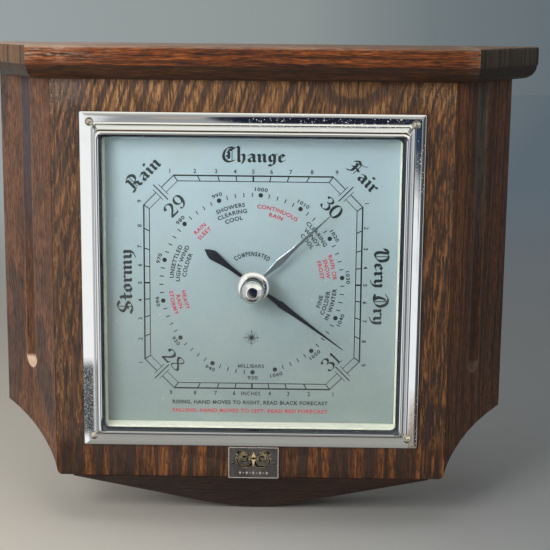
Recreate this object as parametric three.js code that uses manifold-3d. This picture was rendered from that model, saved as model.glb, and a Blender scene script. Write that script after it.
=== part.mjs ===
// Square-dial aneroid wall barometer in an oak case with canted, fluted sides.
// Units: millimetres. +Z up, the dial faces -Y, the wall is the plane Y = 0.
// Origin: on the back board's rear face, level with the centre of the dial.
import * as THREE from 'three';
import { mergeVertices } from 'three/addons/utils/BufferGeometryUtils.js';
import Module from 'manifold-3d';

const wasm = await Module();
wasm.setup();

// ---------------------------------------------------------------- driving dimensions
const DEPTH = 50;            // front panel face to wall
const GAP = 0.3;             // clearance between neighbouring pieces
const PANEL_HALF_W = 104.4;  // front panel, half width at the front face
const PANEL_BOTTOM = -106.7;
const PANEL_TOP = 105.2;
const BOARD_T = 16;          // thickness of the front panel and of the side boards
const BACK_HALF_W = 139.9;   // canted sides, half width at the wall
const CORNICE_TOP = 122.6;
const CORNICE_FILLET = 9.8;  // height of the flat edge moulding
const CORNICE_OVOLO = 7.3;   // radius of the rounded underside moulding
const CORNICE_FRONT = 14;    // how far the cornice stands in front of the panel
const CORNICE_HALF_FRONT = 113.7;
const CORNICE_HALF_BACK = 153.7;
const HOLE_HALF = 80;        // square hole in the panel for the movement pan
const BEZEL_HALF = 89;       // 178 mm (7 in) square bezel
const BEZEL_H = 12.2;        // height of the bezel's bead above the panel
const SCREW_AT = 83.7;       // bezel screws, from the centre line
const GLASS_HALF = 78.3;
const GLASS_FRONT = 8.7;     // glass front face, in front of the panel
const GLASS_T = 2.5;
const DIAL_HALF = 77.9;
const DIAL_BACK = 2.5;       // dial face, behind the panel's face
const DIAL_T = 1.2;
const PAN_HALF = 79.4;       // pressed pan that carries the movement
const PAN_DEPTH = 37.8;
const HAND_ANGLE = 126.1;    // indicating hand, degrees clockwise from the top of the dial
const SET_ANGLE = 46.8;      // set hand, degrees clockwise from the top
const SET_X = 1.1, SET_Z = -0.6;   // its spindle: the glass is drilled a little off the dial's centre
const ARBOR_R = 0.9;
const DRUM_R = 1.6;          // chain drum on the hand arbor
const ROCKER = [40, 24];     // regulating shaft: x, and distance behind the panel's face
const ROCKER_ARM = 16;       // length of its chain arm
const ROCKER_LEAN = 12.7;    // chain arm's lean at this reading, degrees
const LEVER_PIVOT_X = -34;   // bend of the mainspring, about which the lever flexes
const CAPSULE_R = 22;

// ---------------------------------------------------------------- materials
const mat = (color, roughness, metalness) => new THREE.MeshStandardMaterial({ color, roughness, metalness });
const OAK = mat(0x5a3420, 0.5, 0), OAK_DARK = mat(0x4a2c1e, 0.5, 0), PLY = mat(0x8a6a45, 0.8, 0);
const CHROME = mat(0xd6dade, 0.16, 1), BRASS = mat(0xb39248, 0.35, 1), STEEL = mat(0x8f9498, 0.35, 1);
const BLUED = mat(0x1f2c38, 0.3, 1), GLASS = mat(0xe8f2f2, 0.04, 0), DIAL = mat(0xa9bfc3, 0.6, 0);
const CREAM = mat(0xd9dccb, 0.5, 0), PEWTER = mat(0x3b3a38, 0.4, 0.8), ZINC = mat(0x9aa0a3, 0.5, 0.8);

// ---------------------------------------------------------------- helpers
// Every helper takes "d", the distance behind the panel's face (d = 0 at the face, DEPTH at the wall).
const Y = (d) => d - DEPTH;

function solid(geometry) {
  const g = geometry.clone();
  g.deleteAttribute('normal'); g.deleteAttribute('uv');
  const m = mergeVertices(g, 1e-4);
  return new wasm.Manifold(new wasm.Mesh({
    numProp: 3, vertProperties: new Float32Array(m.attributes.position.array), triVerts: new Uint32Array(m.index.array),
  }));
}
function geometryOf(manifold) {
  const m = manifold.getMesh();
  const g = new THREE.BufferGeometry();
  g.setAttribute('position', new THREE.BufferAttribute(new Float32Array(m.vertProperties), 3));
  g.setIndex(new THREE.BufferAttribute(new Uint32Array(m.triVerts), 1));
  g.computeVertexNormals();
  return g;
}
const group = new THREE.Group();
function add(name, geometry, material) {
  const g = geometry.isBufferGeometry ? geometry : geometryOf(geometry);
  const mesh = new THREE.Mesh(g, material);
  mesh.name = name;
  group.add(mesh);
  return mesh;
}
// box between d0 and d1 behind the panel's face
function box(x0, x1, d0, d1, z0, z1) {
  const g = new THREE.BoxGeometry(x1 - x0, d1 - d0, z1 - z0);
  g.translate((x0 + x1) / 2, Y((d0 + d1) / 2), (z0 + z1) / 2);
  return g;
}
const shapeOf = (pts) => new THREE.Shape(pts.map(([a, b]) => new THREE.Vector2(a, b)));
function extrude(shape, depth) {
  return new THREE.ExtrudeGeometry(shape, { depth, bevelEnabled: false, curveSegments: 12 });
}
// plan outline (x, d) extruded upwards from z0 to z1
function plan(pts, z0, z1) {
  const g = extrude(shapeOf(pts.map(([x, d]) => [x, Y(d)])), z1 - z0);
  g.translate(0, 0, z0);
  return g;
}
// front outline (x, z) extruded from d0 to d1
function front(pts, d0, d1, holes = []) {
  const s = Array.isArray(pts) ? shapeOf(pts) : pts;
  holes.forEach((h) => s.holes.push(new THREE.Path(h.map(([a, b]) => new THREE.Vector2(a, b)))));
  const g = extrude(s, d1 - d0);
  g.rotateX(Math.PI / 2);          // shape's y becomes z, depth runs towards -Y
  g.translate(0, Y(d1), 0);
  return g;
}
// side outline (d, z) extruded from x0 to x1
function side(pts, x0, x1) {
  const g = extrude(shapeOf(pts.map(([d, z]) => [Y(d), z])), x1 - x0);
  g.rotateX(Math.PI / 2); g.rotateZ(Math.PI / 2);   // shape (y, z), depth along x
  g.translate(x0, 0, 0);
  return g;
}
const circle = (r, n = 24, cx = 0, cz = 0) => Array.from({ length: n }, (_, i) => {
  const a = (2 * Math.PI * i) / n; return [cx + r * Math.cos(a), cz + r * Math.sin(a)];
});
// round body about an axis along Y at (x, z); profile is [radius, d] pairs
function turned(profile, x = 0, z = 0, n = 24) {
  const g = new THREE.LatheGeometry(profile.map(([r, d]) => new THREE.Vector2(r, d)), n);
  g.translate(0, -DEPTH, 0);       // the lathe axis is already Y
  g.translate(x, 0, z);
  return g;
}
// a lathe turned about Y needs its profile running so that the faces point out
function rod(r, d0, d1, x = 0, z = 0, n = 16) {
  return turned([[0, d0], [r, d0], [r, d1], [0, d1]], x, z, n);
}
function ring(r0, r1, d0, d1, x = 0, z = 0, n = 24) {
  return turned([[r0, d0], [r1, d0], [r1, d1], [r0, d1], [r0, d0]], x, z, n);
}
// rod along Z between z0 and z1 at (x, d)
function rodZ(r, x, d, z0, z1, n = 12) {
  const g = new THREE.CylinderGeometry(r, r, z1 - z0, n);
  g.rotateX(Math.PI / 2);
  g.translate(x, Y(d), (z0 + z1) / 2);
  return g;
}
// rod between two points given as [x, d, z]
function strut(a, b, r0, r1, n = 8) {
  const A = new THREE.Vector3(a[0], Y(a[1]), a[2]), B = new THREE.Vector3(b[0], Y(b[1]), b[2]);
  const v = B.clone().sub(A), g = new THREE.CylinderGeometry(r1, r0, v.length(), n);
  g.applyQuaternion(new THREE.Quaternion().setFromUnitVectors(new THREE.Vector3(0, 1, 0), v.clone().normalize()));
  const c = A.add(B).multiplyScalar(0.5);
  g.translate(c.x, c.y, c.z);
  return g;
}
// square ring lofted through a closed profile of [inset from the outer edge, height above the panel, corner radius]
function squareFrame(half, profile, seg = 3) {
  const loops = profile.map(([a, h, rc]) => {
    const s = half - a, out = [];
    for (const [cx, cz, a0] of [[1, 1, 0], [-1, 1, 90], [-1, -1, 180], [1, -1, 270]]) {
      for (let k = 0; k <= seg; k++) {
        const t = ((a0 + (90 * k) / seg) * Math.PI) / 180;
        out.push([cx * (s - rc) + rc * Math.cos(t), Y(-h), cz * (s - rc) + rc * Math.sin(t)]);
      }
    }
    return out;
  });
  const n = loops[0].length, m = loops.length, pos = loops.flat(2), idx = [];
  for (let i = 0; i < m; i++) for (let j = 0; j < n; j++) {
    const a = i * n + j, b = i * n + ((j + 1) % n), c = ((i + 1) % m) * n + j, d = ((i + 1) % m) * n + ((j + 1) % n);
    idx.push(a, b, c, b, d, c);
  }
  const g = new THREE.BufferGeometry();
  g.setAttribute('position', new THREE.Float32BufferAttribute(pos, 3));
  g.setIndex(idx);
  return g;
}
// points of a flat hand, given along its own axis as [distance from the pivot, half width], turned clockwise from +Z
function handOutline(stations, tail, hub, angle) {
  const a = (angle * Math.PI) / 180, c = Math.cos(a), s = Math.sin(a), pts = [];
  const put = (r, w) => pts.push([r * s + w * c, r * c - w * s]);
  stations.forEach(([r, w]) => put(r, w));
  [...stations].reverse().forEach(([r, w]) => { if (w > 0) put(r, -w); });
  const h0 = stations[0][1], a0 = Math.asin(h0 / hub), tw = tail.length ? tail[0][1] : 0, a1 = tail.length ? Math.asin(tw / hub) : 0;
  const arc = (from, to, n) => { for (let i = 1; i < n; i++) { const t = from + ((to - from) * i) / n; put(hub * Math.cos(t), hub * Math.sin(t)); } };
  arc(-a0, -(Math.PI - a1), 8);
  tail.forEach(([r, w]) => put(-r, -w));
  [...tail].reverse().forEach(([r, w]) => { if (w > 0) put(-r, w); });
  arc(Math.PI - a1, a0, 8);
  return pts;
}

// ---------------------------------------------------------------- oak case
// Outline of the case as cut from front to back: straight sides, a hollow curve at each lower corner,
// then a shallow V with a rounded point under the middle.
const hollow = [[139.9, -79.0], [132.2, -80.7], [125.4, -82.9], [119.5, -85.7], [114.8, -89.0], [110.9, -92.6], [108.0, -96.0], [105.9, -99.4], [104.7, -102.6]];
const corner = [[104.1, -104.9], [103.0, -106.3], [101.4, -106.9], [97.0, -107.3]];
const vee = [[28, -128.9], [20, -131.1], [13, -132.7], [6, -133.6]];
const half = [[139.9, 130], ...hollow, ...corner, ...vee];
const outline = [...half, [0, -133.9], ...half.map(([x, z]) => [-x, z]).reverse()];
const outlineSolid = () => solid(front(outline, -2, DEPTH + 2));

const mitreX = (t) => {                       // x of the inner corner for board thickness t
  const a = Math.atan2(DEPTH, BACK_HALF_W - PANEL_HALF_W);
  return PANEL_HALF_W - t * Math.tan(a / 2);
};
const cantLen = Math.hypot(BACK_HALF_W - PANEL_HALF_W, DEPTH);
const cant = [(BACK_HALF_W - PANEL_HALF_W) / cantLen, DEPTH / cantLen];    // unit vector along the canted face
const innerX = (d, t = BOARD_T) => PANEL_HALF_W + (cant[0] / cant[1]) * d - t / cant[1];

// front panel, mitred to the side boards
const xm = mitreX(BOARD_T);
let panel = solid(plan([[-PANEL_HALF_W + 0.2, 0], [PANEL_HALF_W - 0.2, 0], [xm - 0.2, BOARD_T], [-xm + 0.2, BOARD_T]], PANEL_BOTTOM, PANEL_TOP));
panel = panel.intersect(outlineSolid());
panel = panel.subtract(solid(box(-HOLE_HALF, HOLE_HALF, -1, BOARD_T + 1, -HOLE_HALF, HOLE_HALF)));
for (const sx of [-1, 1]) for (const sz of [-1, 1]) panel = panel.subtract(solid(rod(1.9, -1, 12, sx * SCREW_AT, sz * SCREW_AT, 12)));
for (const x of [-9.4, 12.8]) panel = panel.subtract(solid(rod(0.9, -1, 6, x, -98.2, 8)));
add('front_panel', panel, OAK);

// side boards with a stopped flute
const faceAt = (along) => [PANEL_HALF_W + cant[0] * along, cant[1] * along];
const FLUTE_AT = 28.8, FLUTE_R = 6, FLUTE_OUT = 3.2, FLUTE_END = -46.5;
for (const [name, s] of [['left_side_board', -1], ['right_side_board', 1]]) {
  const pts = [[PANEL_HALF_W, 0.1], [BACK_HALF_W, DEPTH], [innerX(DEPTH), DEPTH], [xm + 0.1, BOARD_T + 0.1]].map(([x, d]) => [s * x, d]);
  let b = solid(plan(s < 0 ? pts.reverse() : pts, -110, PANEL_TOP)).intersect(outlineSolid());
  const [fx, fd] = faceAt(FLUTE_AT), cx = s * (fx + cant[1] * FLUTE_OUT), cd = fd - cant[0] * FLUTE_OUT;
  const cyl = new THREE.CylinderGeometry(FLUTE_R, FLUTE_R, 200, 24); cyl.rotateX(Math.PI / 2);
  cyl.translate(cx, Y(cd), FLUTE_END + 100);
  const end = new THREE.SphereGeometry(FLUTE_R, 24, 12); end.rotateX(Math.PI / 2);
  end.translate(cx, Y(cd), FLUTE_END);
  b = b.subtract(solid(cyl).add(solid(end)));
  add(name, b, OAK);
}

// apron: closes the case below, its front slopes back under the panel
{
  const xi = (d) => innerX(d) - 0.5;
  const body = solid(plan([[-95.8, 0.2], [95.8, 0.2], [95.8, 16.3], [xi(DEPTH), DEPTH], [-xi(DEPTH), DEPTH], [-95.8, 16.3]], -140, -89));
  let a = body.intersect(outlineSolid());
  a = a.subtract(solid(box(-120, 120, -5, BOARD_T + GAP, PANEL_BOTTOM - GAP, -80)));
  a = a.subtract(solid(side([[-30, -140], [-30, PANEL_BOTTOM - GAP + 30.2], [0.2, PANEL_BOTTOM - GAP], [33.2, -140]], -130, 130)));
  add('bottom_apron', a, OAK_DARK);
}

// cornice
{
  const t = CORNICE_OVOLO, zb = CORNICE_TOP - CORNICE_FILLET - t, loops = [];
  const phi = Math.atan2(DEPTH + CORNICE_FRONT, CORNICE_HALF_BACK - CORNICE_HALF_FRONT), k = Math.tan(phi / 2);
  const ringAt = (inset, z) => {
    const xf = CORNICE_HALF_FRONT - inset * k, xb = CORNICE_HALF_BACK - inset / Math.sin(phi);
    return [[-xf, Y(-CORNICE_FRONT + inset), z], [xf, Y(-CORNICE_FRONT + inset), z], [xb, Y(DEPTH), z], [-xb, Y(DEPTH), z]];
  };
  for (let i = 0; i <= 5; i++) { const a = (i / 5) * Math.PI / 2; loops.push(ringAt(t * (1 - Math.sin(a)), zb + t * (1 - Math.cos(a)))); }
  loops.push(ringAt(0, CORNICE_TOP - 0.8), ringAt(0.8, CORNICE_TOP));
  const pos = loops.flat(2), idx = [], n = 4;
  for (let i = 0; i + 1 < loops.length; i++) for (let j = 0; j < n; j++) {
    const a = i * n + j, b = i * n + ((j + 1) % n), c = a + n, d = b + n;
    idx.push(a, b, c, b, d, c);
  }
  idx.push(0, 2, 1, 0, 3, 2);
  const o = (loops.length - 1) * n;
  idx.push(o, o + 1, o + 2, o, o + 2, o + 3);
  const g = new THREE.BufferGeometry();
  g.setAttribute('position', new THREE.Float32BufferAttribute(pos, 3)); g.setIndex(idx);
  add('cornice', g, OAK_DARK);
}

// inner battens that the back board is screwed to
for (const [name, s] of [['left_batten', -1], ['right_batten', 1]]) {
  const pts = [[innerX(30) - 0.5, 30], [innerX(43.6) - 0.5, 43.6], [innerX(30) - 6, 43.6], [innerX(30) - 6, 30]].map(([x, d]) => [s * x, d]);
  let b = solid(plan(s < 0 ? pts.reverse() : pts, -72, 98));
  for (const z of [-55, 80]) b = b.subtract(solid(rod(1.9, 34, 44, s * 104.5, z, 12)));
  add(name, b, OAK);
}

// back board with the hanger plate, and the hole that the adjusting screw is reached through
const ADJ_X = -32;
{
  const xi = (d) => innerX(d) - 0.5;
  let b = solid(plan([[-xi(44), 44], [xi(44), 44], [xi(DEPTH), DEPTH], [-xi(DEPTH), DEPTH]], -88.6, PANEL_TOP));
  b = b.subtract(solid(rod(7, 40, 52, ADJ_X, 0, 16)));
  b = b.subtract(solid(box(-31, 31, 48, 52, 71.5, 94.5)));
  b = b.subtract(solid(front([[-8, 73.5], [8, 73.5], [8, 92.5], [-8, 92.5]], 40, 52)));
  for (const x of [-22, 22]) b = b.subtract(solid(rod(1.7, 40, 49, x, 83, 12)));
  for (const s of [-1, 1]) for (const z of [-55, 80]) b = b.subtract(solid(turned([[0, 40], [1.9, 40], [1.9, 46.6], [4.4, 49.3], [4.4, 52], [0, 52]], s * 104.5, z, 16)));
  add('back_board', b, PLY);

  // keyhole hanger: the screw head goes in at the round hole and the slot drops over its shank
  let h = solid(box(-30, 30, 48.3, 49.8, 72.5, 93.5));

  h = h.subtract(solid(rod(5, 47, 51, 0, 79, 16))).subtract(solid(rod(2.6, 47, 51, 0, 89, 12))).subtract(solid(box(-2.6, 2.6, 47, 51, 79, 89)));
  for (const x of [-22, 22]) h = h.subtract(solid(turned([[0, 47], [1.7, 47], [1.7, 48.35], [3.6, 50], [3.6, 51], [0, 51]], x, 83, 16)));
  add('hanger_plate', h, BRASS);
  for (const [i, x] of [[1, -22], [2, 22]]) add('hanger_screw_' + i, turned([[0, 44.5], [1.3, 45], [1.3, 48.45], [2.75, 49.7], [0, 49.7]], x, 83, 12), BRASS);
  let n = 1;
  for (const s of [-1, 1]) for (const z of [-55, 80]) add('back_screw_' + n++, turned([[0, 34.6], [1.5, 36], [1.5, 46.9], [4.0, 49.5], [4.0, 49.8], [0, 49.8]], s * 104.5, z, 12), STEEL);
}

// engraved plate under the bezel, held by two pins
{
  let p = solid(box(-12.1, 15.5, -1.1, -0.1, -107.4, -89.4));
  for (const x of [-9.4, 12.8]) p = p.subtract(solid(rod(0.9, -3, 2, x, -98.2, 8)));
  add('name_plate', p, PEWTER);
  for (const [i, x] of [[1, -9.4], [2, 12.8]]) add('name_plate_pin_' + i, turned([[0, -1.9], [0.9, -1.7], [1.2, -1.35], [0.6, -1.3], [0.6, 4], [0, 4.6]], x, -98.2, 8), BRASS);
}

// ---------------------------------------------------------------- dial unit
// bezel: flat flange, steep outer wall, rounded bead, inner slope down to the glass
add('bezel', squareFrame(BEZEL_HALF, [
  [0.0, 0.2, 0.8], [0.0, 1.6, 0.8], [0.5, 2.1, 0.8], [5.7, 2.1, 2], [6.7, 2.5, 2.4], [7.4, 3.8, 2.8], [7.9, 6.4, 3], [8.4, 9.4, 3.2], [9.0, 11.3, 3.2],
  [9.8, BEZEL_H, 3.2], [10.8, 12.1, 3], [11.7, 11.2, 2.6], [12.4, 9.9, 2.4], [12.6, 9.1, 2.4],
  [11.5, 9.05, 2.6], [11.0, 10.5, 2.8], [10.2, 11.2, 3], [9.7, 10.7, 3], [9.3, 9.0, 3], [8.9, 6.2, 3], [8.3, 3.4, 2.8], [7.4, 1.3, 2.4], [1.0, 1.2, 0.6], [1.0, 0.2, 0.6],
]), CHROME);
{
  let n = 1;
  for (const sx of [-1, 1]) for (const sz of [1, -1]) {
    const x = sx * SCREW_AT, z = sz * SCREW_AT;
    let s = solid(turned([[0, -3.9], [1.0, -3.75], [1.8, -3.2], [2.25, -2.45], [2.25, -2.4], [1.5, -2.4], [1.5, 10], [0, 11.4]], x, z, 16));
    const slot = new THREE.BoxGeometry(0.6, 1.2, 6);
    slot.rotateY(0.7 + n); slot.translate(x, Y(-3.9), z);
    s = s.subtract(solid(slot));
    add('bezel_screw_' + n, s, BRASS);
    n++;
  }
}
// the four screws pass through the bezel's flange and the pan's flange
{
  const bezel = group.getObjectByName('bezel');
  let b = solid(bezel.geometry);
  for (const sx of [-1, 1]) for (const sz of [-1, 1]) b = b.subtract(solid(rod(1.85, -3, 1, sx * SCREW_AT, sz * SCREW_AT, 12)));
  bezel.geometry = geometryOf(b);
}
add('glass', front([[-GLASS_HALF, -GLASS_HALF], [GLASS_HALF, -GLASS_HALF], [GLASS_HALF, GLASS_HALF], [-GLASS_HALF, GLASS_HALF]],
  -GLASS_FRONT, -GLASS_FRONT + GLASS_T, [circle(4.5, 24, SET_X, SET_Z).reverse()]), GLASS);
// frame that spaces the glass off the dial
{
  const a = GLASS_HALF, b = 76.3;
  const g = solid(box(-a, a, -GLASS_FRONT + GLASS_T + GAP, DIAL_BACK - GAP, -a, a)).subtract(solid(box(-b, b, -12, 12, -b, b)));
  add('glass_spacer', g, CREAM);
}
add('dial_plate', front([[-DIAL_HALF, -DIAL_HALF], [DIAL_HALF, -DIAL_HALF], [DIAL_HALF, DIAL_HALF], [-DIAL_HALF, DIAL_HALF]],
  DIAL_BACK, DIAL_BACK + DIAL_T, [circle(3, 20).reverse()]), DIAL);

// pressed pan: its flange lies under the bezel, its wall goes through the panel
{
  let p = solid(box(-PAN_HALF, PAN_HALF, -0.9, PAN_DEPTH, -PAN_HALF, PAN_HALF));
  p = p.add(solid(box(-87.2, 87.2, -0.9, -0.2, -87.2, 87.2)));
  p = p.subtract(solid(box(-PAN_HALF + 0.8, PAN_HALF - 0.8, -3, PAN_DEPTH - 0.8, -PAN_HALF + 0.8, PAN_HALF - 0.8)));
  for (const sx of [-1, 1]) for (const sz of [-1, 1]) p = p.subtract(solid(rod(1.9, -3, 1, sx * SCREW_AT, sz * SCREW_AT, 12)));
  p = p.subtract(solid(rod(4.5, 30, 40, ADJ_X, 0, 16)));
  for (const a of [90, 210, 330]) p = p.subtract(solid(rod(1.6, 30, 40, 42 * Math.cos(a * Math.PI / 180), 42 * Math.sin(a * Math.PI / 180), 10)));
  add('movement_pan', p, ZINC);
}
{
  let n = 1;
  for (const sx of [-1, 1]) for (const sz of [1, -1]) add('dial_pillar_' + n++, rod(3, 4.0, 36.7, sx * 62, sz * 62, 6), BRASS);
}

// set hand: knob in front of the glass, hand behind it, on one spindle that turns in a flanged bush
add('glass_bush', turned([[2.8, -5.2], [4.1, -5.2], [4.1, -9.0], [8.0, -9.0], [8.5, -9.5], [8.3, -10.3], [7.0, -11.0], [5.0, -11.2], [2.8, -11.2], [2.8, -5.2]].reverse(), SET_X, SET_Z, 32), CHROME);
add('bush_nut', ring(4.4, 7.0, -5.9, -5.2, SET_X, SET_Z, 12), BRASS);
add('set_knob', turned([[0, -24.6], [2.7, -24.5], [4.7, -23.8], [5.9, -22.4], [6.35, -20.4], [6.2, -18.8], [5.3, -17.0], [4.0, -15.4], [3.4, -13.8], [3.6, -12.3], [3.6, -11.6], [2.4, -11.4], [2.4, -2.9], [0, -2.9]], SET_X, SET_Z, 24), CHROME);
add('set_hand', front(handOutline([[9.0, 0.75], [12.5, 1.1], [19.0, 1.95], [30, 1.35], [45, 0.75], [55.8, 0.12]], [], 6.2, SET_ANGLE).map(([x, z]) => [x + SET_X, z + SET_Z]), -4.7, -4.1, [circle(2.7, 20, SET_X, SET_Z).reverse()]), CHROME);
add('set_hand_nut', ring(2.7, 3.8, -3.8, -2.9, SET_X, SET_Z, 12), CHROME);

// ---------------------------------------------------------------- aneroid movement
// base plate, screwed to the back of the pan
{
  let p = solid(rod(48, 34.6, 36.6, 0, 0, 36));
  p = p.subtract(solid(rod(2.3, 30, 40, ADJ_X, 0, 12)));
  for (const a of [90, 210, 330]) p = p.subtract(solid(rod(1.6, 30, 40, 42 * Math.cos(a * Math.PI / 180), 42 * Math.sin(a * Math.PI / 180), 10)));
  for (const z of [-9, 9]) p = p.subtract(solid(rod(1.3, 30, 40, ADJ_X, z, 10)));
  p = p.subtract(solid(rod(2.0, 30, 40, 0, 0, 10)));
  add('movement_base_plate', p, BRASS);
  let n = 1;
  for (const a of [90, 210, 330]) add('base_screw_' + n++, turned([[0, 32.4], [2.6, 32.6], [2.8, 34.3], [1.2, 34.3], [1.2, 39.2], [0, 39.6]], 42 * Math.cos(a * Math.PI / 180), 42 * Math.sin(a * Math.PI / 180), 12), STEEL);
}
// evacuated capsule: corrugated, with a boss in front and a stud behind
{
  const p = [[0, 15.2], [1.5, 15.2], [1.5, 20.6], [4, 21.0], [4, 23.2], [7, 23.2], [8, 24.0], [10, 23.2], [12, 24.0], [14, 23.2], [16, 24.0], [18, 23.2], [20, 24.2], [21.4, 25.4], [CAPSULE_R, 27.6], [CAPSULE_R, 28.6], [21.4, 30.6], [20, 31.8], [18, 32.8], [16, 32.0], [14, 32.8], [12, 32.0], [10, 32.8], [8, 32.0], [7, 32.8], [4, 32.8], [4, 34.0], [1.6, 34.0], [1.6, 36.6], [0, 36.6]];
  add("aneroid_capsule", turned(p, 0, 0, 20), BRASS);
  add('capsule_key', front([[-5, -0.9], [5, -0.9], [5, 0.9], [-5, 0.9]], 13.2, 14.8), STEEL);
}
// mainspring: foot on the base plate, bent up and over the capsule
{
  const p = [[-27, 34.3], [-38, 34.3], [-38, 22.0], [-37.3, 19.8], [-35.6, 18.1], [-33, 17.6], [16, 17.6], [16, 19.6], [-32.4, 19.6], [-34.4, 20.1], [-35.6, 21.3], [-36, 23.0], [-36, 32.3], [-27, 32.3]];
  let s = solid(plan(p.map(([x, d]) => [x, d]).reverse(), -12, 12));
  s = s.subtract(solid(rod(1.9, 10, 25, 0, 0, 16)));
  for (const z of [-9, 9]) s = s.subtract(solid(rod(1.6, 30, 36, ADJ_X, z, 10)));
  add('mainspring', s, STEEL);
  for (const [i, z] of [[1, -9], [2, 9]]) add('mainspring_screw_' + i, turned([[0, 30.2], [2.3, 30.4], [2.4, 32.0], [1.0, 32.0], [1.0, 36.2], [0, 36.4]], ADJ_X, z, 12), STEEL);
}
add('adjusting_screw', (() => {
  let s = solid(turned([[0, 34.8], [1.9, 35.0], [1.9, 37.0], [3.4, 37.3], [3.4, 39.6], [0, 39.6]], ADJ_X, 0, 20));
  return s.subtract(solid(box(ADJ_X - 0.5, ADJ_X + 0.5, 38.7, 41, -5, 5)));
})(), STEEL);
// main lever on the spring, with the link that hangs from its end
add('main_lever', front([[LEVER_PIVOT_X, -13.4], [-20, -13.4], [44.8, -11.8], [44.8, -9.2], [-20, -8.2], [LEVER_PIVOT_X, -8.2]], 15.2, 16.6), BRASS);
add('link_rod', strut([43, 16.9, -10.5], [43, 22.6, -10.5], 0.5, 0.5, 8), STEEL);
// regulating shaft: pivots in the bracket, short arm to the link, long arm to the chain
{
  const lean = (ROCKER_LEAN * Math.PI) / 180, tip = [ROCKER[0] + ROCKER_ARM * Math.sin(lean), ROCKER[1] - ROCKER_ARM * Math.cos(lean), 1.8];
  let s = solid(rodZ(1.2, ROCKER[0], ROCKER[1], -12.2, 9.5, 12));
  s = s.add(solid(box(ROCKER[0], 44.2, 23.4, 24.6, -11.4, -9.6)));
  s = s.add(solid(strut([ROCKER[0], ROCKER[1], 1.8], tip, 1.0, 0.6, 8)));
  add('regulating_shaft', s, STEEL);
  let b = solid(box(36, 44, 32.3, 34.3, -8.4, 7.4));
  for (const [z0, z1] of [[-8.4, -7.0], [6.0, 7.4]]) b = b.add(solid(box(36.6, 43.4, 20.8, 33, z0, z1)));
  b = b.subtract(solid(rodZ(1.5, ROCKER[0], ROCKER[1], -20, 20, 16)));
  add('shaft_bracket', b, BRASS);
  add('chain', strut([-0.5, 8.4, 2.15], [tip[0] - 1.1, 8.4, 2.15], 0.25, 0.25, 6), STEEL);
}
// arbor bridge on two pillars
{
  let p = solid(front([[-7, -31], [7, -31], [9, -8], [9, 8], [7, 31], [-7, 31], [-9, 8], [-9, -8]], 11.0, 12.6));
  p = p.subtract(solid(rod(1.4, 5, 20, 0, 0, 16)));
  add('arbor_bridge', p, BRASS);
  for (const [i, z] of [[1, -27], [2, 27]]) add('bridge_pillar_' + i, rod(2.4, 12.9, 34.3, 0, z, 12), BRASS);
  add('hairspring_stud', rod(0.8, 4.9, 10.7, -6.9, -6.9, 8), BRASS);
}
// hand arbor with the chain drum, hairspring and indicating hand
add('hand_arbor', turned([[0, -1.9], [0.7, -1.8], [ARBOR_R, -1.4], [ARBOR_R, 6.9], [2.5, 7.0], [2.5, 7.4], [DRUM_R, 7.5], [DRUM_R, 9.3], [2.5, 9.4], [2.5, 9.8], [ARBOR_R, 9.9], [ARBOR_R, 12.6], [0.5, 12.9], [0, 12.9]], 0, 0, 16), BRASS);
{
  const pts = [];
  for (let i = 0; i <= 72; i++) { const t = i / 72, a = 2 * Math.PI * 3 * t - 2.36 + 0.02, r = 2.4 + 6.3 * t; pts.push(new THREE.Vector3(r * Math.cos(a), Y(5.5), r * Math.sin(a))); }
  const path = new THREE.CatmullRomCurve3(pts);
  const sec = new THREE.Shape([[-0.12, -0.3], [0.12, -0.3], [0.12, 0.3], [-0.12, 0.3]].map(([a, b]) => new THREE.Vector2(a, b)));
  add('hairspring', new THREE.ExtrudeGeometry(sec, { steps: 72, bevelEnabled: false, extrudePath: path }), BLUED);
}
add('indicating_hand', front(handOutline([[7.5, 0.95], [12, 1.25], [19.8, 2.15], [32, 1.55], [46, 0.95], [60.2, 0.12]],
  [[7.5, 0.95], [14, 1.2], [21, 2.0], [25, 2.8], [28, 1.6], [30.5, 0]], 4.6, HAND_ANGLE), -0.8, -0.2, [circle(1.2, 16).reverse()]), BLUED);

export default group;
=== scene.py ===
import math
import bpy
import bmesh
import numpy as np
from mathutils import Matrix, Vector
from mathutils.geometry import delaunay_2d_cdt


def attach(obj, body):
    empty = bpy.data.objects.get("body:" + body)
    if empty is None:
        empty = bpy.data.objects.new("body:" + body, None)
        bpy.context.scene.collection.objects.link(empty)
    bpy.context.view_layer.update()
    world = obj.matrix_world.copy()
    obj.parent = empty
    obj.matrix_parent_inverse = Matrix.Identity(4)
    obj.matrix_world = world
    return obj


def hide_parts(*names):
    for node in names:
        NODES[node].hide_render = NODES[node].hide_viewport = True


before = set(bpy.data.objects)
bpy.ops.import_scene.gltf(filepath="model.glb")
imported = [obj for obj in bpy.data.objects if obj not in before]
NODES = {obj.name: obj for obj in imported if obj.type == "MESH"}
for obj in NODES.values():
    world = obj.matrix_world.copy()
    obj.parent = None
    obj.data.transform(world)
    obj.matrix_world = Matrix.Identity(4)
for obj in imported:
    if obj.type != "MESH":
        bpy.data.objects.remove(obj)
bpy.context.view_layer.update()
scene = bpy.context.scene

# Lengths below are in millimetres: x to the right, d behind the panel's face, z up from the dial's centre.
DEPTH = 50.0


def pt(x, d, z):
    return Vector((x * 0.001, (d - DEPTH) * 0.001, z * 0.001))


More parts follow.
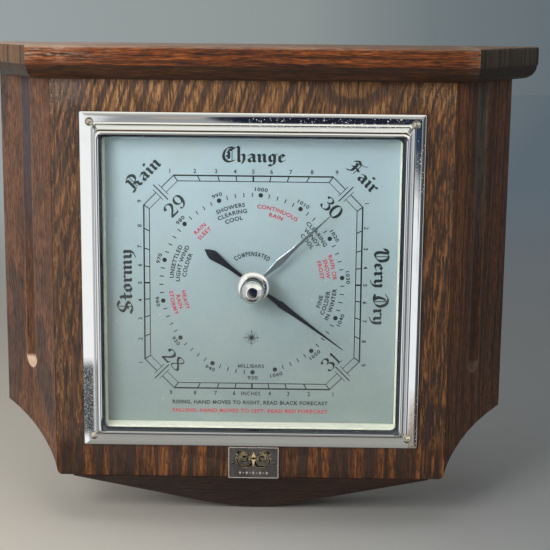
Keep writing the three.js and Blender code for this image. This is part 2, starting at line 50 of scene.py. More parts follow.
# ------------------------------------------------------------------ camera
def make_camera():
    f, pitch, yaw, roll = 1349.767, 0.19198, -0.01231, 0.00998
    t = Vector((-12.335, 708.222, -4.162))
    r = Matrix.Rotation(roll, 3, "Y") @ Matrix.Rotation(pitch, 3, "X") @ Matrix.Rotation(yaw, 3, "Z")
    rt = r.transposed()
    pos = -(rt @ t)
    right, fwd, up = rt @ Vector((1, 0, 0)), rt @ Vector((0, 1, 0)), rt @ Vector((0, 0, 1))
    m = Matrix((right, up, -fwd)).transposed().to_4x4()
    m.translation = Vector((pos.x, pos.y - DEPTH, pos.z)) * 0.001
    data = bpy.data.cameras.new("camera")
    data.sensor_width = 36.0
    data.lens = f / 550 * 36.0
    data.clip_start, data.clip_end = 0.01, 20
    cam = bpy.data.objects.new("camera", data)
    scene.collection.objects.link(cam)
    cam.matrix_world = m
    scene.camera = cam


make_camera()


# ------------------------------------------------------------------ material helpers
class Mat:
    def __init__(self, name):
        self.m = bpy.data.materials.new(name)
        self.m.use_nodes = True
        self.t = self.m.node_tree
        self.t.nodes.clear()
        self.out = self.t.nodes.new("ShaderNodeOutputMaterial")
        self.b = self.t.nodes.new("ShaderNodeBsdfPrincipled")
        self.t.links.new(self.b.outputs[0], self.out.inputs[0])
        tc = self.t.nodes.new("ShaderNodeTexCoord")
        sc = self.t.nodes.new("ShaderNodeVectorMath")
        sc.operation = "SCALE"
        self.t.links.new(tc.outputs["Object"], sc.inputs[0])
        sc.inputs["Scale"].default_value = 1000.0
        self.p = sc.outputs[0]                      # object coordinates in mm
        s = self.node("ShaderNodeSeparateXYZ", {0: self.p})
        self.x, self.y, self.z = s.outputs

    def put(self, node, key, val):
        s = node.inputs[key]
        if isinstance(val, bpy.types.NodeSocket):
            self.t.links.new(val, s)
        else:
            s.default_value = val

    def node(self, kind, inputs=None, **props):
        nd = self.t.nodes.new(kind)
        for k, v in props.items():
            setattr(nd, k, v)
        for k, v in (inputs or {}).items():
            self.put(nd, k, v)
        return nd

    def set(self, **kw):
        names = {"color": "Base Color", "rough": "Roughness", "metal": "Metallic", "normal": "Normal", "ior": "IOR",
                 "coat": "Coat Weight", "coat_rough": "Coat Roughness", "spec": "Specular IOR Level",
                 "trans": "Transmission Weight", "aniso": "Anisotropic", "sheen": "Sheen Weight"}
        for k, v in kw.items():
            if k == "color" and not isinstance(v, bpy.types.NodeSocket):
                v = (*v, 1)
            self.put(self.b, names[k], v)
        return self

    def math(self, op, a, b=None, c=None, clamp=False):
        nd = self.node("ShaderNodeMath", operation=op, use_clamp=clamp)
        for i, v in enumerate((a, b, c)):
            if v is not None:
                self.put(nd, i, v)
        return nd.outputs[0]

    def add(self, a, b):
        return self.math("ADD", a, b)

    def sub(self, a, b):
        return self.math("SUBTRACT", a, b)

    def mul(self, a, b, clamp=False):
        return self.math("MULTIPLY", a, b, clamp=clamp)

    def step(self, v, a, b, lo=0.0, hi=1.0):
        """smooth step of v from a to b"""
        nd = self.node("ShaderNodeMapRange", {0: v, 1: a, 2: b, 3: lo, 4: hi}, interpolation_type="SMOOTHSTEP")
        return nd.outputs[0]

    def vec(self, x, y, z):
        return self.node("ShaderNodeCombineXYZ", {0: x, 1: y, 2: z}).outputs[0]

    def scaled(self, sx, sy, sz, ox=0.0, oy=0.0, oz=0.0):
        """object coordinates in mm times a factor on each axis"""
        nd = self.node("ShaderNodeMapping", {"Vector": self.p, "Location": (ox, oy, oz), "Scale": (sx, sy, sz)})
        return nd.outputs[0]

    def noise(self, vec, scale=1.0, detail=2.0, rough=0.5, dist=0.0):
        nd = self.node("ShaderNodeTexNoise", {"Vector": vec, "Scale": scale, "Detail": detail, "Roughness": rough, "Distortion": dist})
        return nd.outputs["Fac"]

    def noise1(self, w, scale=1.0, detail=1.0, rough=0.5):
        nd = self.node("ShaderNodeTexNoise", noise_dimensions="1D")
        self.put(nd, "W", w)
        self.put(nd, "Scale", scale)
        self.put(nd, "Detail", detail)
        self.put(nd, "Roughness", rough)
        return nd.outputs["Fac"]

    def cells(self, vec, scale=1.0, feature="F1", rnd=1.0):
        nd = self.node("ShaderNodeTexVoronoi", {"Vector": vec, "Scale": scale, "Randomness": rnd}, feature=feature)
        return nd.outputs["Distance"]

    def ramp(self, fac, stops, interp="LINEAR"):
        nd = self.node("ShaderNodeValToRGB", {"Fac": fac})
        cr = nd.color_ramp
        cr.interpolation = interp
        while len(cr.elements) < len(stops):
            cr.elements.new(0.5)
        for e, (p, c) in zip(cr.elements, stops):
            e.position = p
            e.color = (*c, 1) if len(c) == 3 else c
        return nd.outputs["Color"]

    def mix(self, fac, a, b, mode="MIX"):
        nd = self.node("ShaderNodeMix", data_type="RGBA", blend_type=mode)
        ins = [i for i in nd.inputs if i.type == "RGBA"]
        self.put(nd, 0, fac)
        for s, v in zip(ins, (a, b)):
            if isinstance(v, bpy.types.NodeSocket):
                self.t.links.new(v, s)
            else:
                s.default_value = (*v, 1)
        return next(o for o in nd.outputs if o.type == "RGBA")

    def bump(self, height, strength, dist_mm, normal=None):
        nd = self.node("ShaderNodeBump", {"Height": height, "Strength": strength, "Distance": dist_mm * 0.001})
        if normal is not None:
            self.put(nd, "Normal", normal)
        return nd.outputs[0]


def lin(r, g, b):
    return tuple((c / 255 / 12.92) if c / 255 <= 0.04045 else ((c / 255 + 0.055) / 1.055) ** 2.4 for c in (r, g, b))


# ------------------------------------------------------------------ materials
def oak(name, along="z", shift=0.0, tint="panel"):
    """Fumed oak under old varnish. along is the grain's direction; bands are the growth rings."""
    m = Mat(name)
    x, y, z = m.x, m.y, m.z
    if along == "x":
        a, g = m.add(z, m.mul(y, 0.55)), x              # across the grain, along the grain
        wide = m.scaled(0.012, 0.05, 0.05, shift, 0, 0)
        fine = (0.10, 1.9, 1.9)
        pore = (0.16, 2.6, 2.6)
    else:
        a, g = m.add(x, m.mul(y, 0.6)), z
        wide = m.scaled(0.03, 0.03, 0.011, shift, 0, 0)
        fine = (1.35, 1.35, 0.10) if tint == "panel" else (1.7, 1.7, 0.10)
        pore = (1.45, 1.45, 0.19) if tint == "panel" else (1.9, 1.9, 0.20)
    warp = m.mul(m.sub(m.noise(wide, 1.0, 2.5, 0.5), 0.5), 13.0 if tint == "panel" else 16.0)
    u = m.add(a, warp)
    if tint == "panel":                                 # the grain leans over towards the top of the panel
        h = m.math("MAXIMUM", m.add(z, 96.0), 0.0)
        u = m.sub(u, m.mul(m.mul(h, h), 0.00088))
    wob = m.mul(m.sub(m.noise(m.scaled(*(v * 0.4 for v in fine)), 1.0, 2.0, 0.5), 0.5), 2.4)
    u = m.add(m.add(u, wob), shift * 37.0)
    rings = m.noise1(u, 0.26 if tint == "panel" else 0.20, 1.2, 0.55)
    band = m.step(rings, 0.40, 0.56)
    if tint == "panel":                                 # a cut knot's arch under the cornice
        r = m.math("SQRT", m.add(m.math("POWER", m.mul(m.sub(x, 52.0), 0.74), 2.0), m.math("POWER", m.sub(z, 106.5), 2.0)))
        arch = m.step(m.add(r, wob), 9.0, 10.6, 1.0, 0.0)
        band = m.node("ShaderNodeMix", {0: m.step(r, 12.5, 17.5, 1.0, 0.0), 2: band, 3: m.mul(arch, 0.72)}).outputs[0]
    fibre = m.noise(m.scaled(*fine, 0, shift, 0), 1.0, 4.0, 0.62)
    pores = m.noise(m.scaled(*pore, shift, 3.0, 0), 1.0, 2.5, 0.6)
    pit = m.step(pores, 0.39, 0.52)                     # 0 in a pore, 1 between
    tone = m.noise(m.scaled(0.018, 0.018, 0.018, 5 + shift, 0, 0), 1.0, 2.0, 0.5)
    dark, mid, warm, bright = {
        "panel": (lin(60, 49, 44), lin(94, 66, 50), lin(138, 98, 64), lin(176, 132, 88)),
        "side": (lin(44, 33, 30), lin(80, 54, 40), lin(112, 72, 48), lin(146, 96, 62)),
        "cornice": (lin(44, 31, 27), lin(98, 55, 34), lin(142, 77, 38), lin(186, 112, 62)),
        # painted shade: the dark palette is the oak painted as it looks in shadow, for the apron under the panel and
        # the battens
        "dark": (lin(40, 32, 29), lin(58, 43, 36), lin(78, 54, 40), lin(98, 66, 46)),
    }[tint]
    if tint == "panel":                                 # ring figure is strong above and below the dial, quiet beside it
        over, under = m.step(z, 76.0, 90.0), m.step(z, -80.0, -91.0)
        patch = m.noise1(u, 0.16, 1.0, 0.5)
        band = m.node("ShaderNodeMix", {0: under, 2: band, 3: m.step(patch, 0.41, 0.63)}).outputs[0]
        amp = m.add(m.mul(over, 0.30), m.add(m.mul(under, 0.42), 0.22))
        base = m.add(m.mul(over, 0.19), m.add(m.mul(under, 0.02), 0.28))
        base = m.sub(base, m.mul(over, m.mul(m.step(x, -74.0, -98.0), 0.26)))
        level = m.add(base, m.mul(m.sub(band, 0.5), amp))
        level = m.add(level, m.mul(m.sub(m.step(fibre, 0.36, 0.64), 0.5), 0.50))
        level = m.add(level, m.add(m.mul(m.sub(tone, 0.5), 0.34), 0.06))
        east = m.mul(m.step(x, 86.0, 94.0), m.step(z, 96.0, 70.0))
        level = m.add(level, m.mul(m.mul(m.sub(m.step(fibre, 0.44, 0.60), 0.45), 0.30), east))
    else:
        level = m.add(m.mul(band, 0.36), m.add(m.mul(m.step(fibre, 0.34, 0.66), 0.58), m.mul(m.sub(tone, 0.5), 0.50)))
        if tint == "cornice":
            streak = m.noise(m.scaled(0.022, 0.5, 0.42, 8, 0, 3), 1.0, 3.0, 0.62)
            level = m.sub(level, m.add(0.02, m.mul(m.step(streak, 0.47, 0.62), 0.24)))
    col = m.ramp(level, [(0.06, dark), (0.40, mid), (0.72, warm), (0.98, bright)])
    depth = m.math("MULTIPLY_ADD", band, 0.45, 0.25)    # pores show most in the open early wood
    col = m.mix(m.mul(m.sub(1.0, pit), depth), col, lin(40, 28, 24))
    spark = m.step(m.noise(m.scaled(*(v * 1.25 for v in pore), 7, 0, 0), 1.0, 1.5, 0.5), 0.60, 0.72)
    col = m.mix(m.mul(m.mul(spark, band), 0.55), col, bright)
    # waxy bloom and scuffs, and on the cornice a painted highlight along its rounded top edge
    scuff = m.step(m.noise(m.scaled(0.9, 0.9, 0.9, 3, 1, 2), 1.0, 3.0, 0.7), 0.60, 0.74)
    if tint == "panel":
        cx = m.step(m.math("ABSOLUTE", m.add(x, 4.0)), 72.0, 104.0)
        cz = m.step(z, 80.0, 103.0)
        rim = m.mul(m.step(m.math("ABSOLUTE", x), 102.2, 104.0), m.step(z, 0.0, 60.0))
        where = m.add(m.mul(m.mul(cx, cz), 0.70), m.add(m.mul(rim, 0.45), 0.04))
        scuff = m.step(m.noise(m.scaled(0.9, 0.9, 0.55, 3, 1, 2), 1.0, 3.0, 0.7), 0.52, 0.70)
    elif tint == "cornice":
        left = m.mul(m.step(x, -60.0, -104.0), m.step(z, 112.0, 118.0))
        right = m.mul(m.mul(m.step(x, 104.0, 112.0), m.step(x, 114.2, 113.6)), 0.5)
        # painted highlight along the cornice's rounded top edge, broken up by the grain
        edge = m.step(z, 120.6, 122.0)
        where = m.add(m.add(m.mul(left, 0.9), right), m.mul(edge, 0.70))
        edge_grain = m.step(streak, 0.40, 0.60)
        scuff = m.math("MAXIMUM", m.step(m.noise(m.scaled(0.12, 0.5, 1.1, 3, 1, 2), 1.0, 4.0, 0.7), 0.46, 0.66), m.mul(edge, m.math("MULTIPLY_ADD", edge_grain, -0.55, 0.95)))
    else:
        where = 0.06
    col = m.mix(m.mul(scuff, where), col, lin(178, 150, 132))
    if tint == "cornice":                               # end grain on the two canted returns, the east one painted darker and the west one lighter as painted shade and light
        flat = m.node("ShaderNodeSeparateXYZ", {0: m.node("ShaderNodeNewGeometry").outputs["True Normal"]}).outputs[2]
        ends = m.mul(m.step(m.math("ABSOLUTE", x), 113.4, 114.0), m.step(m.math("ABSOLUTE", flat), 0.85, 0.6))
        stripe = m.step(m.noise1(m.add(y, m.mul(wob, 0.5)), 0.26, 2.0, 0.6), 0.38, 0.60)
        west = m.step(x, 20.0, -20.0)
        col = m.mix(ends, col, m.mix(stripe, m.mix(west, lin(52, 45, 40), lin(66, 48, 37)), m.mix(west, lin(94, 82, 68), lin(122, 90, 62))))
    if tint == "side":                                  # the flute: painted reflection and light, bluish grey in the left flute and a lighter grey in the right one towards the top and dark brown below, with a painted highlight and wear on its lip and a bright painted highlight at its stopped end, strongest on the left
        q = m.add(m.math("POWER", m.sub(m.math("ABSOLUTE", x), 123.69), 2.0), m.math("POWER", m.add(y, 28.36), 2.0))
        end = m.math("MINIMUM", m.add(z, 46.5), 0.0)
        r = m.math("SQRT", m.add(q, m.mul(end, end)))
        inside, lip = m.step(r, 6.5, 6.05), m.mul(m.step(r, 7.4, 6.6), m.step(r, 6.0, 6.4))
        high = m.step(z, -20.0, 70.0)
        flute_light = m.mix(m.step(x, -20.0, 20.0), lin(74, 70, 76), m.mix(m.step(fibre, 0.40, 0.60), lin(84, 76, 70), lin(126, 114, 106)))
        col = m.mix(m.mul(inside, m.math("MULTIPLY_ADD", high, 0.45, 0.35)), col, m.mix(high, lin(58, 43, 35), flute_light))
        col = m.mix(m.mul(lip, 0.35), col, lin(128, 104, 88))
        wide_end = m.step(r, 8.0, 7.0)
        stop_highlight = m.mul(wide_end, m.mul(m.step(m.add(z, m.mul(m.sub(fibre, 0.5), 3.5)), -46.2, -48.8), m.step(x, 20.0, -20.0, 0.12, 0.85)))
        col = m.mix(stop_highlight, col, lin(226, 196, 172))
    if tint == "cornice":                               # painted shade: the quarter-round under the cornice's face is painted dark where it faces down
        col = m.mix(m.step(z, 113.2, 112.3), col, m.mix(0.80, col, lin(38, 30, 23)))
    if tint == "panel":                                 # painted shade: the panel is painted darker and redder to the right and below, where less light falls
        low = m.math("MAXIMUM", m.mul(m.step(x, 60.0, 92.0), m.step(z, 100.0, 84.0)), m.step(z, -84.0, -92.0))
        col = m.mix(m.mul(low, 0.75), col, m.mix(1.0, col, (0.84, 0.70, 0.58), "MULTIPLY"))
        col = m.mix(m.step(z, -84.0, -92.0), col, m.mix(1.0, col, m.mix(band, (0.84, 0.78, 0.70), (0.90, 0.72, 0.54)), "MULTIPLY"))
        # painted sheen: a grey veil painted on the top left of the panel, following the fibre
        grey = m.mul(m.mul(m.step(x, -80.0, -92.0), m.step(z, 88.0, 97.0)), m.step(fibre, 0.30, 0.60))
        col = m.mix(m.mul(grey, 0.45), col, lin(112, 98, 92))
    quiet = tint in ("side", "cornice", "dark")
    m.set(color=col, spec=0.22 if quiet else 0.36, coat=0.04 if quiet else 0.08, coat_rough=0.30)
    m.set(rough=m.ramp(m.add(m.mul(pit, 0.7), m.mul(tone, 0.3)), [(0.1, (0.66,) * 3), (0.9, (0.40,) * 3)]))
    h = m.add(m.mul(pit, 0.7), m.mul(fibre, 0.3))
    m.set(normal=m.bump(h, 0.55, 0.16))
    return m.m


def plywood():
    m = Mat("plywood")
    rings = m.noise(m.scaled(0.004, 0.02, 0.03, 2, 0, 0), 1.0, 3.0, 0.5)
    u = m.add(m.mul(m.z, 0.10), m.mul(rings, 9.0))
    band = m.math("ABSOLUTE", m.math("SINE", u))
    grain = m.noise(m.scaled(0.06, 1.0, 1.6), 1.0, 4.0, 0.6)
    level = m.add(m.mul(band, 0.35), m.mul(grain, 0.65))
    col = m.ramp(level, [(0.2, lin(92, 64, 42)), (0.5, lin(128, 94, 62)), (0.85, lin(158, 122, 84))])
    plies = m.math("SINE", m.mul(m.y, 3.6))
    edge = m.node("ShaderNodeNewGeometry")
    ny = m.math("ABSOLUTE", m.node("ShaderNodeSeparateXYZ", {0: edge.outputs["True Normal"]}).outputs[1])
    col = m.mix(m.mul(m.step(ny, 0.6, 0.2), m.step(plies, -0.2, 0.2)), col, lin(86, 60, 42))
    dirt = m.step(m.noise(m.scaled(0.02, 0.02, 0.02), 1.0, 4.0, 0.65), 0.42, 0.72)
    col = m.mix(m.mul(dirt, 0.45), col, lin(66, 50, 38))
    m.set(color=col, rough=m.ramp(grain, [(0.3, (0.85,) * 3), (0.8, (0.62,) * 3)]), spec=0.3, normal=m.bump(level, 0.4, 0.15))
    return m.m


def chrome(name="chrome", pits=True):
    """Bright plate over brass, clean on most of it and pitted where damp has sat."""
    m = Mat(name)
    x, y, z = m.x, m.y, m.z
    fleck = m.noise(m.scaled(1.35, 1.35, 1.35, 1.7, 0, 0), 1.0, 1.0, 0.5)
    fine = m.noise(m.scaled(3.3, 3.3, 3.3), 1.0, 3.0, 0.65)
    cloud = m.noise(m.scaled(0.05, 0.05, 0.05, 4, 2, 1), 1.0, 3.0, 0.6)
    if pits:
        top = m.mul(m.step(z, 79.5, 83.0), m.step(x, -34.0, 6.0))
        left = m.mul(m.step(x, -82.5, -84.2), m.mul(m.step(z, -40.0, -48.0), m.step(z, -86.0, -80.0)))
        tr = m.mul(m.step(x, 83.0, 84.5), m.mul(m.step(z, 40.0, 52.0), m.step(z, 78.0, 70.0)))
        br = m.mul(m.step(x, 83.5, 85.0), m.step(z, -50.0, -70.0))
        low = m.mul(m.step(z, 84.6, 83.0), 0.06)        # flecks crowd where the flange meets the raised frame
        dens = m.add(m.add(m.mul(top, m.add(low, 0.092)), m.mul(left, 0.14)), m.add(m.mul(tr, 0.115), m.mul(br, 0.15)))
        thr = m.sub(0.80, dens)
        pit = m.math("GREATER_THAN", fleck, thr)
        pit = m.step(m.sub(fleck, thr), -0.012, 0.012)
        haze = m.add(m.mul(left, 0.5), m.mul(m.step(cloud, 0.52, 0.70), 0.16))
    else:
        thr, left, br = 0.70, 0.0, 0.0
        pit = m.mul(m.step(fleck, 0.70, 0.72), 0.6)
        haze = m.mul(m.step(cloud, 0.55, 0.75), 0.12)
    col = m.mix(m.mul(m.step(fine, 0.35, 0.75), haze), (0.80, 0.815, 0.83), (0.50, 0.50, 0.48))
    col = m.mix(pit, col, (0.88, 0.90, 0.92) if pits else (0.60, 0.61, 0.60))
    if not pits:                                        # painted reflection and shade: a dark outline round the knob's rim, standing in for dark surroundings reflected at grazing angles, and painted shade under the knob round its stem
        q = m.math("SQRT", m.add(m.math("POWER", m.sub(x, 1.1), 2.0), m.math("POWER", m.add(z, 0.6), 2.0)))
        rim = m.mul(m.step(q, 5.65, 6.0), m.mul(m.step(y, -67.6, -68.4), 0.86))
        under = m.mul(m.step(q, 6.1, 5.2), m.mul(m.mul(m.step(y, -69.4, -68.6), m.step(y, -60.7, -61.0)), 0.8))
        col = m.mix(m.math("MAXIMUM", rim, under), col, (0.05, 0.055, 0.06))
    if pits:
        col = m.mix(m.mul(br, m.mul(m.step(cloud, 0.40, 0.55), 0.6)), col, (0.42, 0.30, 0.20))
        grain = m.step(m.noise(m.scaled(1.7, 1.7, 1.7, 0, 4, 0), 1.0, 3.0, 0.7), 0.46, 0.60)
        col = m.mix(left, col, m.mix(grain, (0.020, 0.030, 0.031), (0.27, 0.30, 0.30)))
        reach = m.math("MAXIMUM", m.math("ABSOLUTE", x), m.math("ABSOLUTE", z))
        start = m.math("MAXIMUM", m.math("MULTIPLY_ADD", m.step(x, 70.0, 74.0), 0.5, 77.9), m.math("MULTIPLY_ADD", m.step(z, -70.0, -74.0), 0.5, 77.9))
        groove = m.mul(m.step(m.sub(reach, start), 0.15, -0.15), m.step(y, -58.0, -59.0))
        col = m.mix(m.mul(groove, m.sub(1.0, m.mul(pit, 0.9))), col, (0.085, 0.095, 0.11))
    m.set(color=col, metal=m.sub(1.0, m.math("MAXIMUM", m.mul(pit, 0.9), m.mul(left, 0.75))) if pits else 1.0)
    base = m.add(m.mul(haze, 0.28), 0.035)
    m.set(rough=m.math("ADD", base, m.mul(pit, 0.45), clamp=True))
    wave = m.noise(m.scaled(0.045, 0.045, 0.045, 9, 0, 0), 1.0, 1.0, 0.4)
    n = m.bump(wave, 0.06, 1.2)
    n = m.bump(m.mul(pit, -1.0), 0.30, 0.06, n)
    m.set(normal=n)
    return m.m


def metal(name, color, rough=0.32, spots=None, brushed=None, stain=0.35, bump=0.15):
    m = Mat(name)
    big = m.noise(m.scaled(0.16, 0.16, 0.16, 1, 2, 3), 1.0, 4.0, 0.6)
    fine = m.noise(m.scaled(2.8, 2.8, 2.8), 1.0, 3.0, 0.6)
    col = m.mix(m.mul(m.step(big, 0.40, 0.72), stain), color, spots or tuple(c * 0.45 for c in color))
    col = m.mix(m.mul(m.step(fine, 0.56, 0.72), 0.35), col, tuple(c * 0.6 for c in color))
    m.set(color=col, metal=1.0)
    lines = m.noise(m.scaled(*(brushed or (1.0, 1.0, 1.0))), 1.0, 3.0, 0.6)
    m.set(rough=m.math("ADD", m.mul(big, 0.22), m.math("ADD", m.mul(fine, 0.10), rough - 0.14), clamp=True))
    m.set(normal=m.bump(m.add(m.mul(lines, 0.6), m.mul(fine, 0.4)), bump, 0.05))
    return m.m


def enamel_dial():
    """Pale blue-green silvered dial with faint clouding and a few specks."""
    m = Mat("dial_enamel")
    cloud = m.noise(m.scaled(0.028, 0.028, 0.028, 3, 0, 1), 1.0, 4.0, 0.55)
    fine = m.noise(m.scaled(0.9, 0.9, 0.9), 1.0, 4.0, 0.7)
    # painted shade and light: the dial is painted darker towards the bottom and lighter towards the top
    up = m.step(m.z, -80.0, 80.0)
    col = m.mix(up, lin(122, 136, 137), lin(154, 175, 186))
    col = m.mix(m.mul(m.step(cloud, 0.45, 0.72), 0.30), col, lin(146, 158, 152))
    col = m.mix(m.mul(m.step(fine, 0.40, 0.75), 0.06), col, lin(196, 208, 206))
    speck = m.cells(m.scaled(0.11, 0.11, 0.11), 1.0)
    col = m.mix(m.mul(m.step(speck, 0.045, 0.02), 0.6), col, lin(205, 212, 206))
    m.set(color=col, rough=m.ramp(cloud, [(0.3, (0.52,) * 3), (0.8, (0.42,) * 3)]), spec=0.35, metal=0.0)
    m.set(normal=m.bump(fine, 0.05, 0.05))
    return m.m


def ink(name, color, fade):
    m = Mat(name)
    n = m.noise(m.scaled(0.7, 0.7, 0.7), 1.0, 3.0, 0.65)
    col = m.mix(m.mul(m.step(n, 0.35, 0.8), 0.5), color, fade)
    m.set(color=col, rough=0.5, spec=0.3)
    m.set(normal=m.bump(n, 0.05, 0.02))
    return m.m


def cream():
    m = Mat("cream_paint")
    n = m.noise(m.scaled(0.08, 0.08, 0.08), 1.0, 4.0, 0.6)
    grime = m.step(m.noise(m.scaled(0.25, 0.8, 0.25, 5), 1.0, 4.0, 0.7), 0.48, 0.72)
    col = m.mix(m.mul(n, 0.6), lin(242, 241, 228), lin(214, 217, 203))
    col = m.mix(m.mul(grime, 0.35), col, lin(132, 130, 112))
    shade = m.mul(m.step(m.x, -77.0, -79.5), m.step(m.z, -80.0, -76.0))
    col = m.mix(m.mul(shade, 0.80), col, lin(96, 108, 104))
    m.set(color=col, rough=m.ramp(grime, [(0, (0.42,) * 3), (1, (0.66,) * 3)]), spec=0.4, normal=m.bump(n, 0.1, 0.1))
    return m.m


def pewter():
    m = Mat("pewter")
    big = m.noise(m.scaled(0.12, 0.12, 0.12), 1.0, 4.0, 0.6)
    brush = m.noise(m.scaled(0.25, 4.0, 4.5), 1.0, 3.0, 0.6)
    col = m.mix(m.step(big, 0.35, 0.7), lin(104, 98, 96), lin(76, 71, 72))
    col = m.mix(m.mul(brush, 0.25), col, lin(112, 108, 104))
    m.set(color=col, metal=0.75, rough=m.ramp(brush, [(0.3, (0.34,) * 3), (0.8, (0.46,) * 3)]), normal=m.bump(brush, 0.12, 0.05))
    return m.m


def glass():
    m = Mat("glass")
    m.set(color=(0.985, 0.995, 0.99), rough=0.0, ior=1.45, trans=1.0)
    n = m.noise(m.scaled(0.012, 0.012, 0.012), 1.0, 1.0, 0.4)
    m.set(normal=m.bump(n, 0.03, 1.0))
    lp = m.node("ShaderNodeLightPath")
    tr = m.node("ShaderNodeBsdfTransparent", {"Color": (0.97, 0.985, 0.98, 1)})
    mx = m.node("ShaderNodeMixShader", {0: lp.outputs["Is Shadow Ray"]})
    m.t.links.new(m.b.outputs[0], mx.inputs[1])
    m.t.links.new(tr.outputs[0], mx.inputs[2])
    m.t.links.new(mx.outputs[0], m.out.inputs[0])
    return m.m


OAK_PANEL = oak("oak_panel", "z", 0.0, "panel")
OAK_SIDE = oak("oak_side", "z", 1.7, "side")
OAK_CORNICE = oak("oak_cornice", "x", 0.6, "cornice")
# the apron and battens take the oak's dark palette, painted shade
OAK_APRON = oak("oak_apron", "x", 2.9, "dark")
OAK_INNER = oak("oak_batten", "z", 4.1, "dark")
PLYWOOD = plywood()
CHROME = chrome("chrome_pitted", True)
CHROME_CLEAN = chrome("chrome_bright", False)
BRASS = metal("brass", (0.62, 0.44, 0.17), 0.30, (0.20, 0.13, 0.06))
BRASS_WORN = metal("brass_worn", (0.64, 0.61, 0.52), 0.24, (0.26, 0.23, 0.17), stain=0.5)
STEEL = metal("steel", (0.50, 0.51, 0.52), 0.34, (0.20, 0.17, 0.15))
ZINC = metal("zinc", (0.46, 0.48, 0.50), 0.46, (0.30, 0.31, 0.32), stain=0.6, bump=0.3)
BLUED = metal("blued_steel", (0.022, 0.033, 0.048), 0.34, (0.045, 0.035, 0.040), stain=0.5)
NICKEL = metal("nickel_hand", (0.33, 0.38, 0.41), 0.22, (0.28, 0.31, 0.33), stain=0.3, bump=0.08)
DIAL = enamel_dial()
INK_BLACK = ink("ink_black", lin(16, 27, 30), lin(34, 48, 50))
INK_RED = ink("ink_red", lin(176, 44, 66), lin(190, 92, 104))
CREAM = cream()
PEWTER = pewter()
GLASS = glass()
GILT = ink("gilt_line", lin(222, 200, 150), lin(178, 168, 146))
SILVER_LINE = ink("silver_line", lin(196, 190, 178), lin(138, 132, 124))


# ------------------------------------------------------------------ mesh helpers
def new_object(name, mesh, material, body, replaces=()):
    mesh.materials.clear()
    mesh.materials.append(material)
    ob = bpy.data.objects.new(name, mesh)
    scene.collection.objects.link(ob)
    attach(ob, body)
    if replaces:
        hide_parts(*replaces)
    return ob


def finish_mesh(me, angle=32.0):
    bm = bmesh.new()
    bm.from_mesh(me)
    bmesh.ops.remove_doubles(bm, verts=bm.verts, dist=2e-7)
    bmesh.ops.recalc_face_normals(bm, faces=bm.faces)
    bm.to_mesh(me)
    bm.free()
    me.shade_smooth()
    me.set_sharp_from_angle(angle=math.radians(angle))
    me.update()
    return me


def mesh_of(name, verts, faces, angle=32.0):
    me = bpy.data.meshes.new(name)
    me.from_pydata([tuple(v) for v in verts], [], faces)
    return finish_mesh(me, angle)


def smooth_curve(points, n=6, closed=False):
    """Catmull-Rom through points of any length"""
    pts = [tuple(p) for p in points]
    out, count = [], len(pts)
    last = count if closed else count - 1
    for i in range(last):
        p = [pts[(i + k) % count] if closed else pts[min(max(i + k, 0), count - 1)] for k in (-1, 0, 1, 2)]
        for j in range(n):
            t = j / n
            out.append(tuple(0.5 * (2 * b + (c - a) * t + (2 * a - 5 * b + 4 * c - d) * t * t + (3 * b - a - 3 * c + d) * t ** 3)
                             for a, b, c, d in zip(*p)))
    if not closed:
        out.append(pts[-1])
    return out


def lathe(name, profile, x=0.0, z=0.0, n=64, angle=32.0):
    """profile runs from the axis round to the axis, or closes on itself, as (radius, d)"""
    verts, rings, faces = [], [], []
    for r, d in profile:
        if r < 1e-6:
            rings.append([len(verts)])
            verts.append(pt(x, d, z))
        else:
            rings.append(list(range(len(verts), len(verts) + n)))
            verts += [pt(x + r * math.cos(2 * math.pi * k / n), d, z + r * math.sin(2 * math.pi * k / n)) for k in range(n)]
    closed = profile[0][0] > 1e-6
    pairs = list(zip(rings, rings[1:])) + ([(rings[-1], rings[0])] if closed else [])
    for a, b in pairs:
        for k in range(n):
            k2 = (k + 1) % n
            if len(a) == 1 and len(b) == 1:
                continue
            if len(a) == 1:
                faces.append((a[0], b[k], b[k2]))
            elif len(b) == 1:
                faces.append((a[k], b[0], a[k2]))
            else:
                faces.append((a[k], b[k], b[k2], a[k2]))
    return mesh_of(name, verts, faces, angle)


def square_ring(name, half, profile, seg=8, side=10, angle=32.0):
    """square frame lofted through a closed profile of (inset, height in front of the panel, corner radius)"""
    loops = []
    for a, h, rc in profile:
        s, loop = half - a, []
        for cx, cz, a0 in ((1, 1, 0), (-1, 1, 90), (-1, -1, 180), (1, -1, 270)):
            arc = []
            for k in range(seg + 1):
                t = math.radians(a0 + 90 * k / seg)
                arc.append((cx * (s - rc) + rc * math.cos(t), cz * (s - rc) + rc * math.sin(t)))
            loop += arc
            nx = {0: (-1, 1), 90: (-1, -1), 180: (1, -1), 270: (1, 1)}[a0]
            t = math.radians(a0 + 90)
            nxt = (nx[0] * (s - rc) + rc * math.cos(t), nx[1] * (s - rc) + rc * math.sin(t))
            for k in range(1, side):
                w = k / side
                loop.append((arc[-1][0] * (1 - w) + nxt[0] * w, arc[-1][1] * (1 - w) + nxt[1] * w))
        loops.append([pt(x, -h, z) for x, z in loop])
    n, m = len(loops[0]), len(loops)
    faces = []
    for i in range(m):
        for j in range(n):
            i2, j2 = (i + 1) % m, (j + 1) % n
            faces.append((i * n + j, i * n + j2, i2 * n + j2, i2 * n + j))
    return mesh_of(name, [v for lp in loops for v in lp], faces, angle)


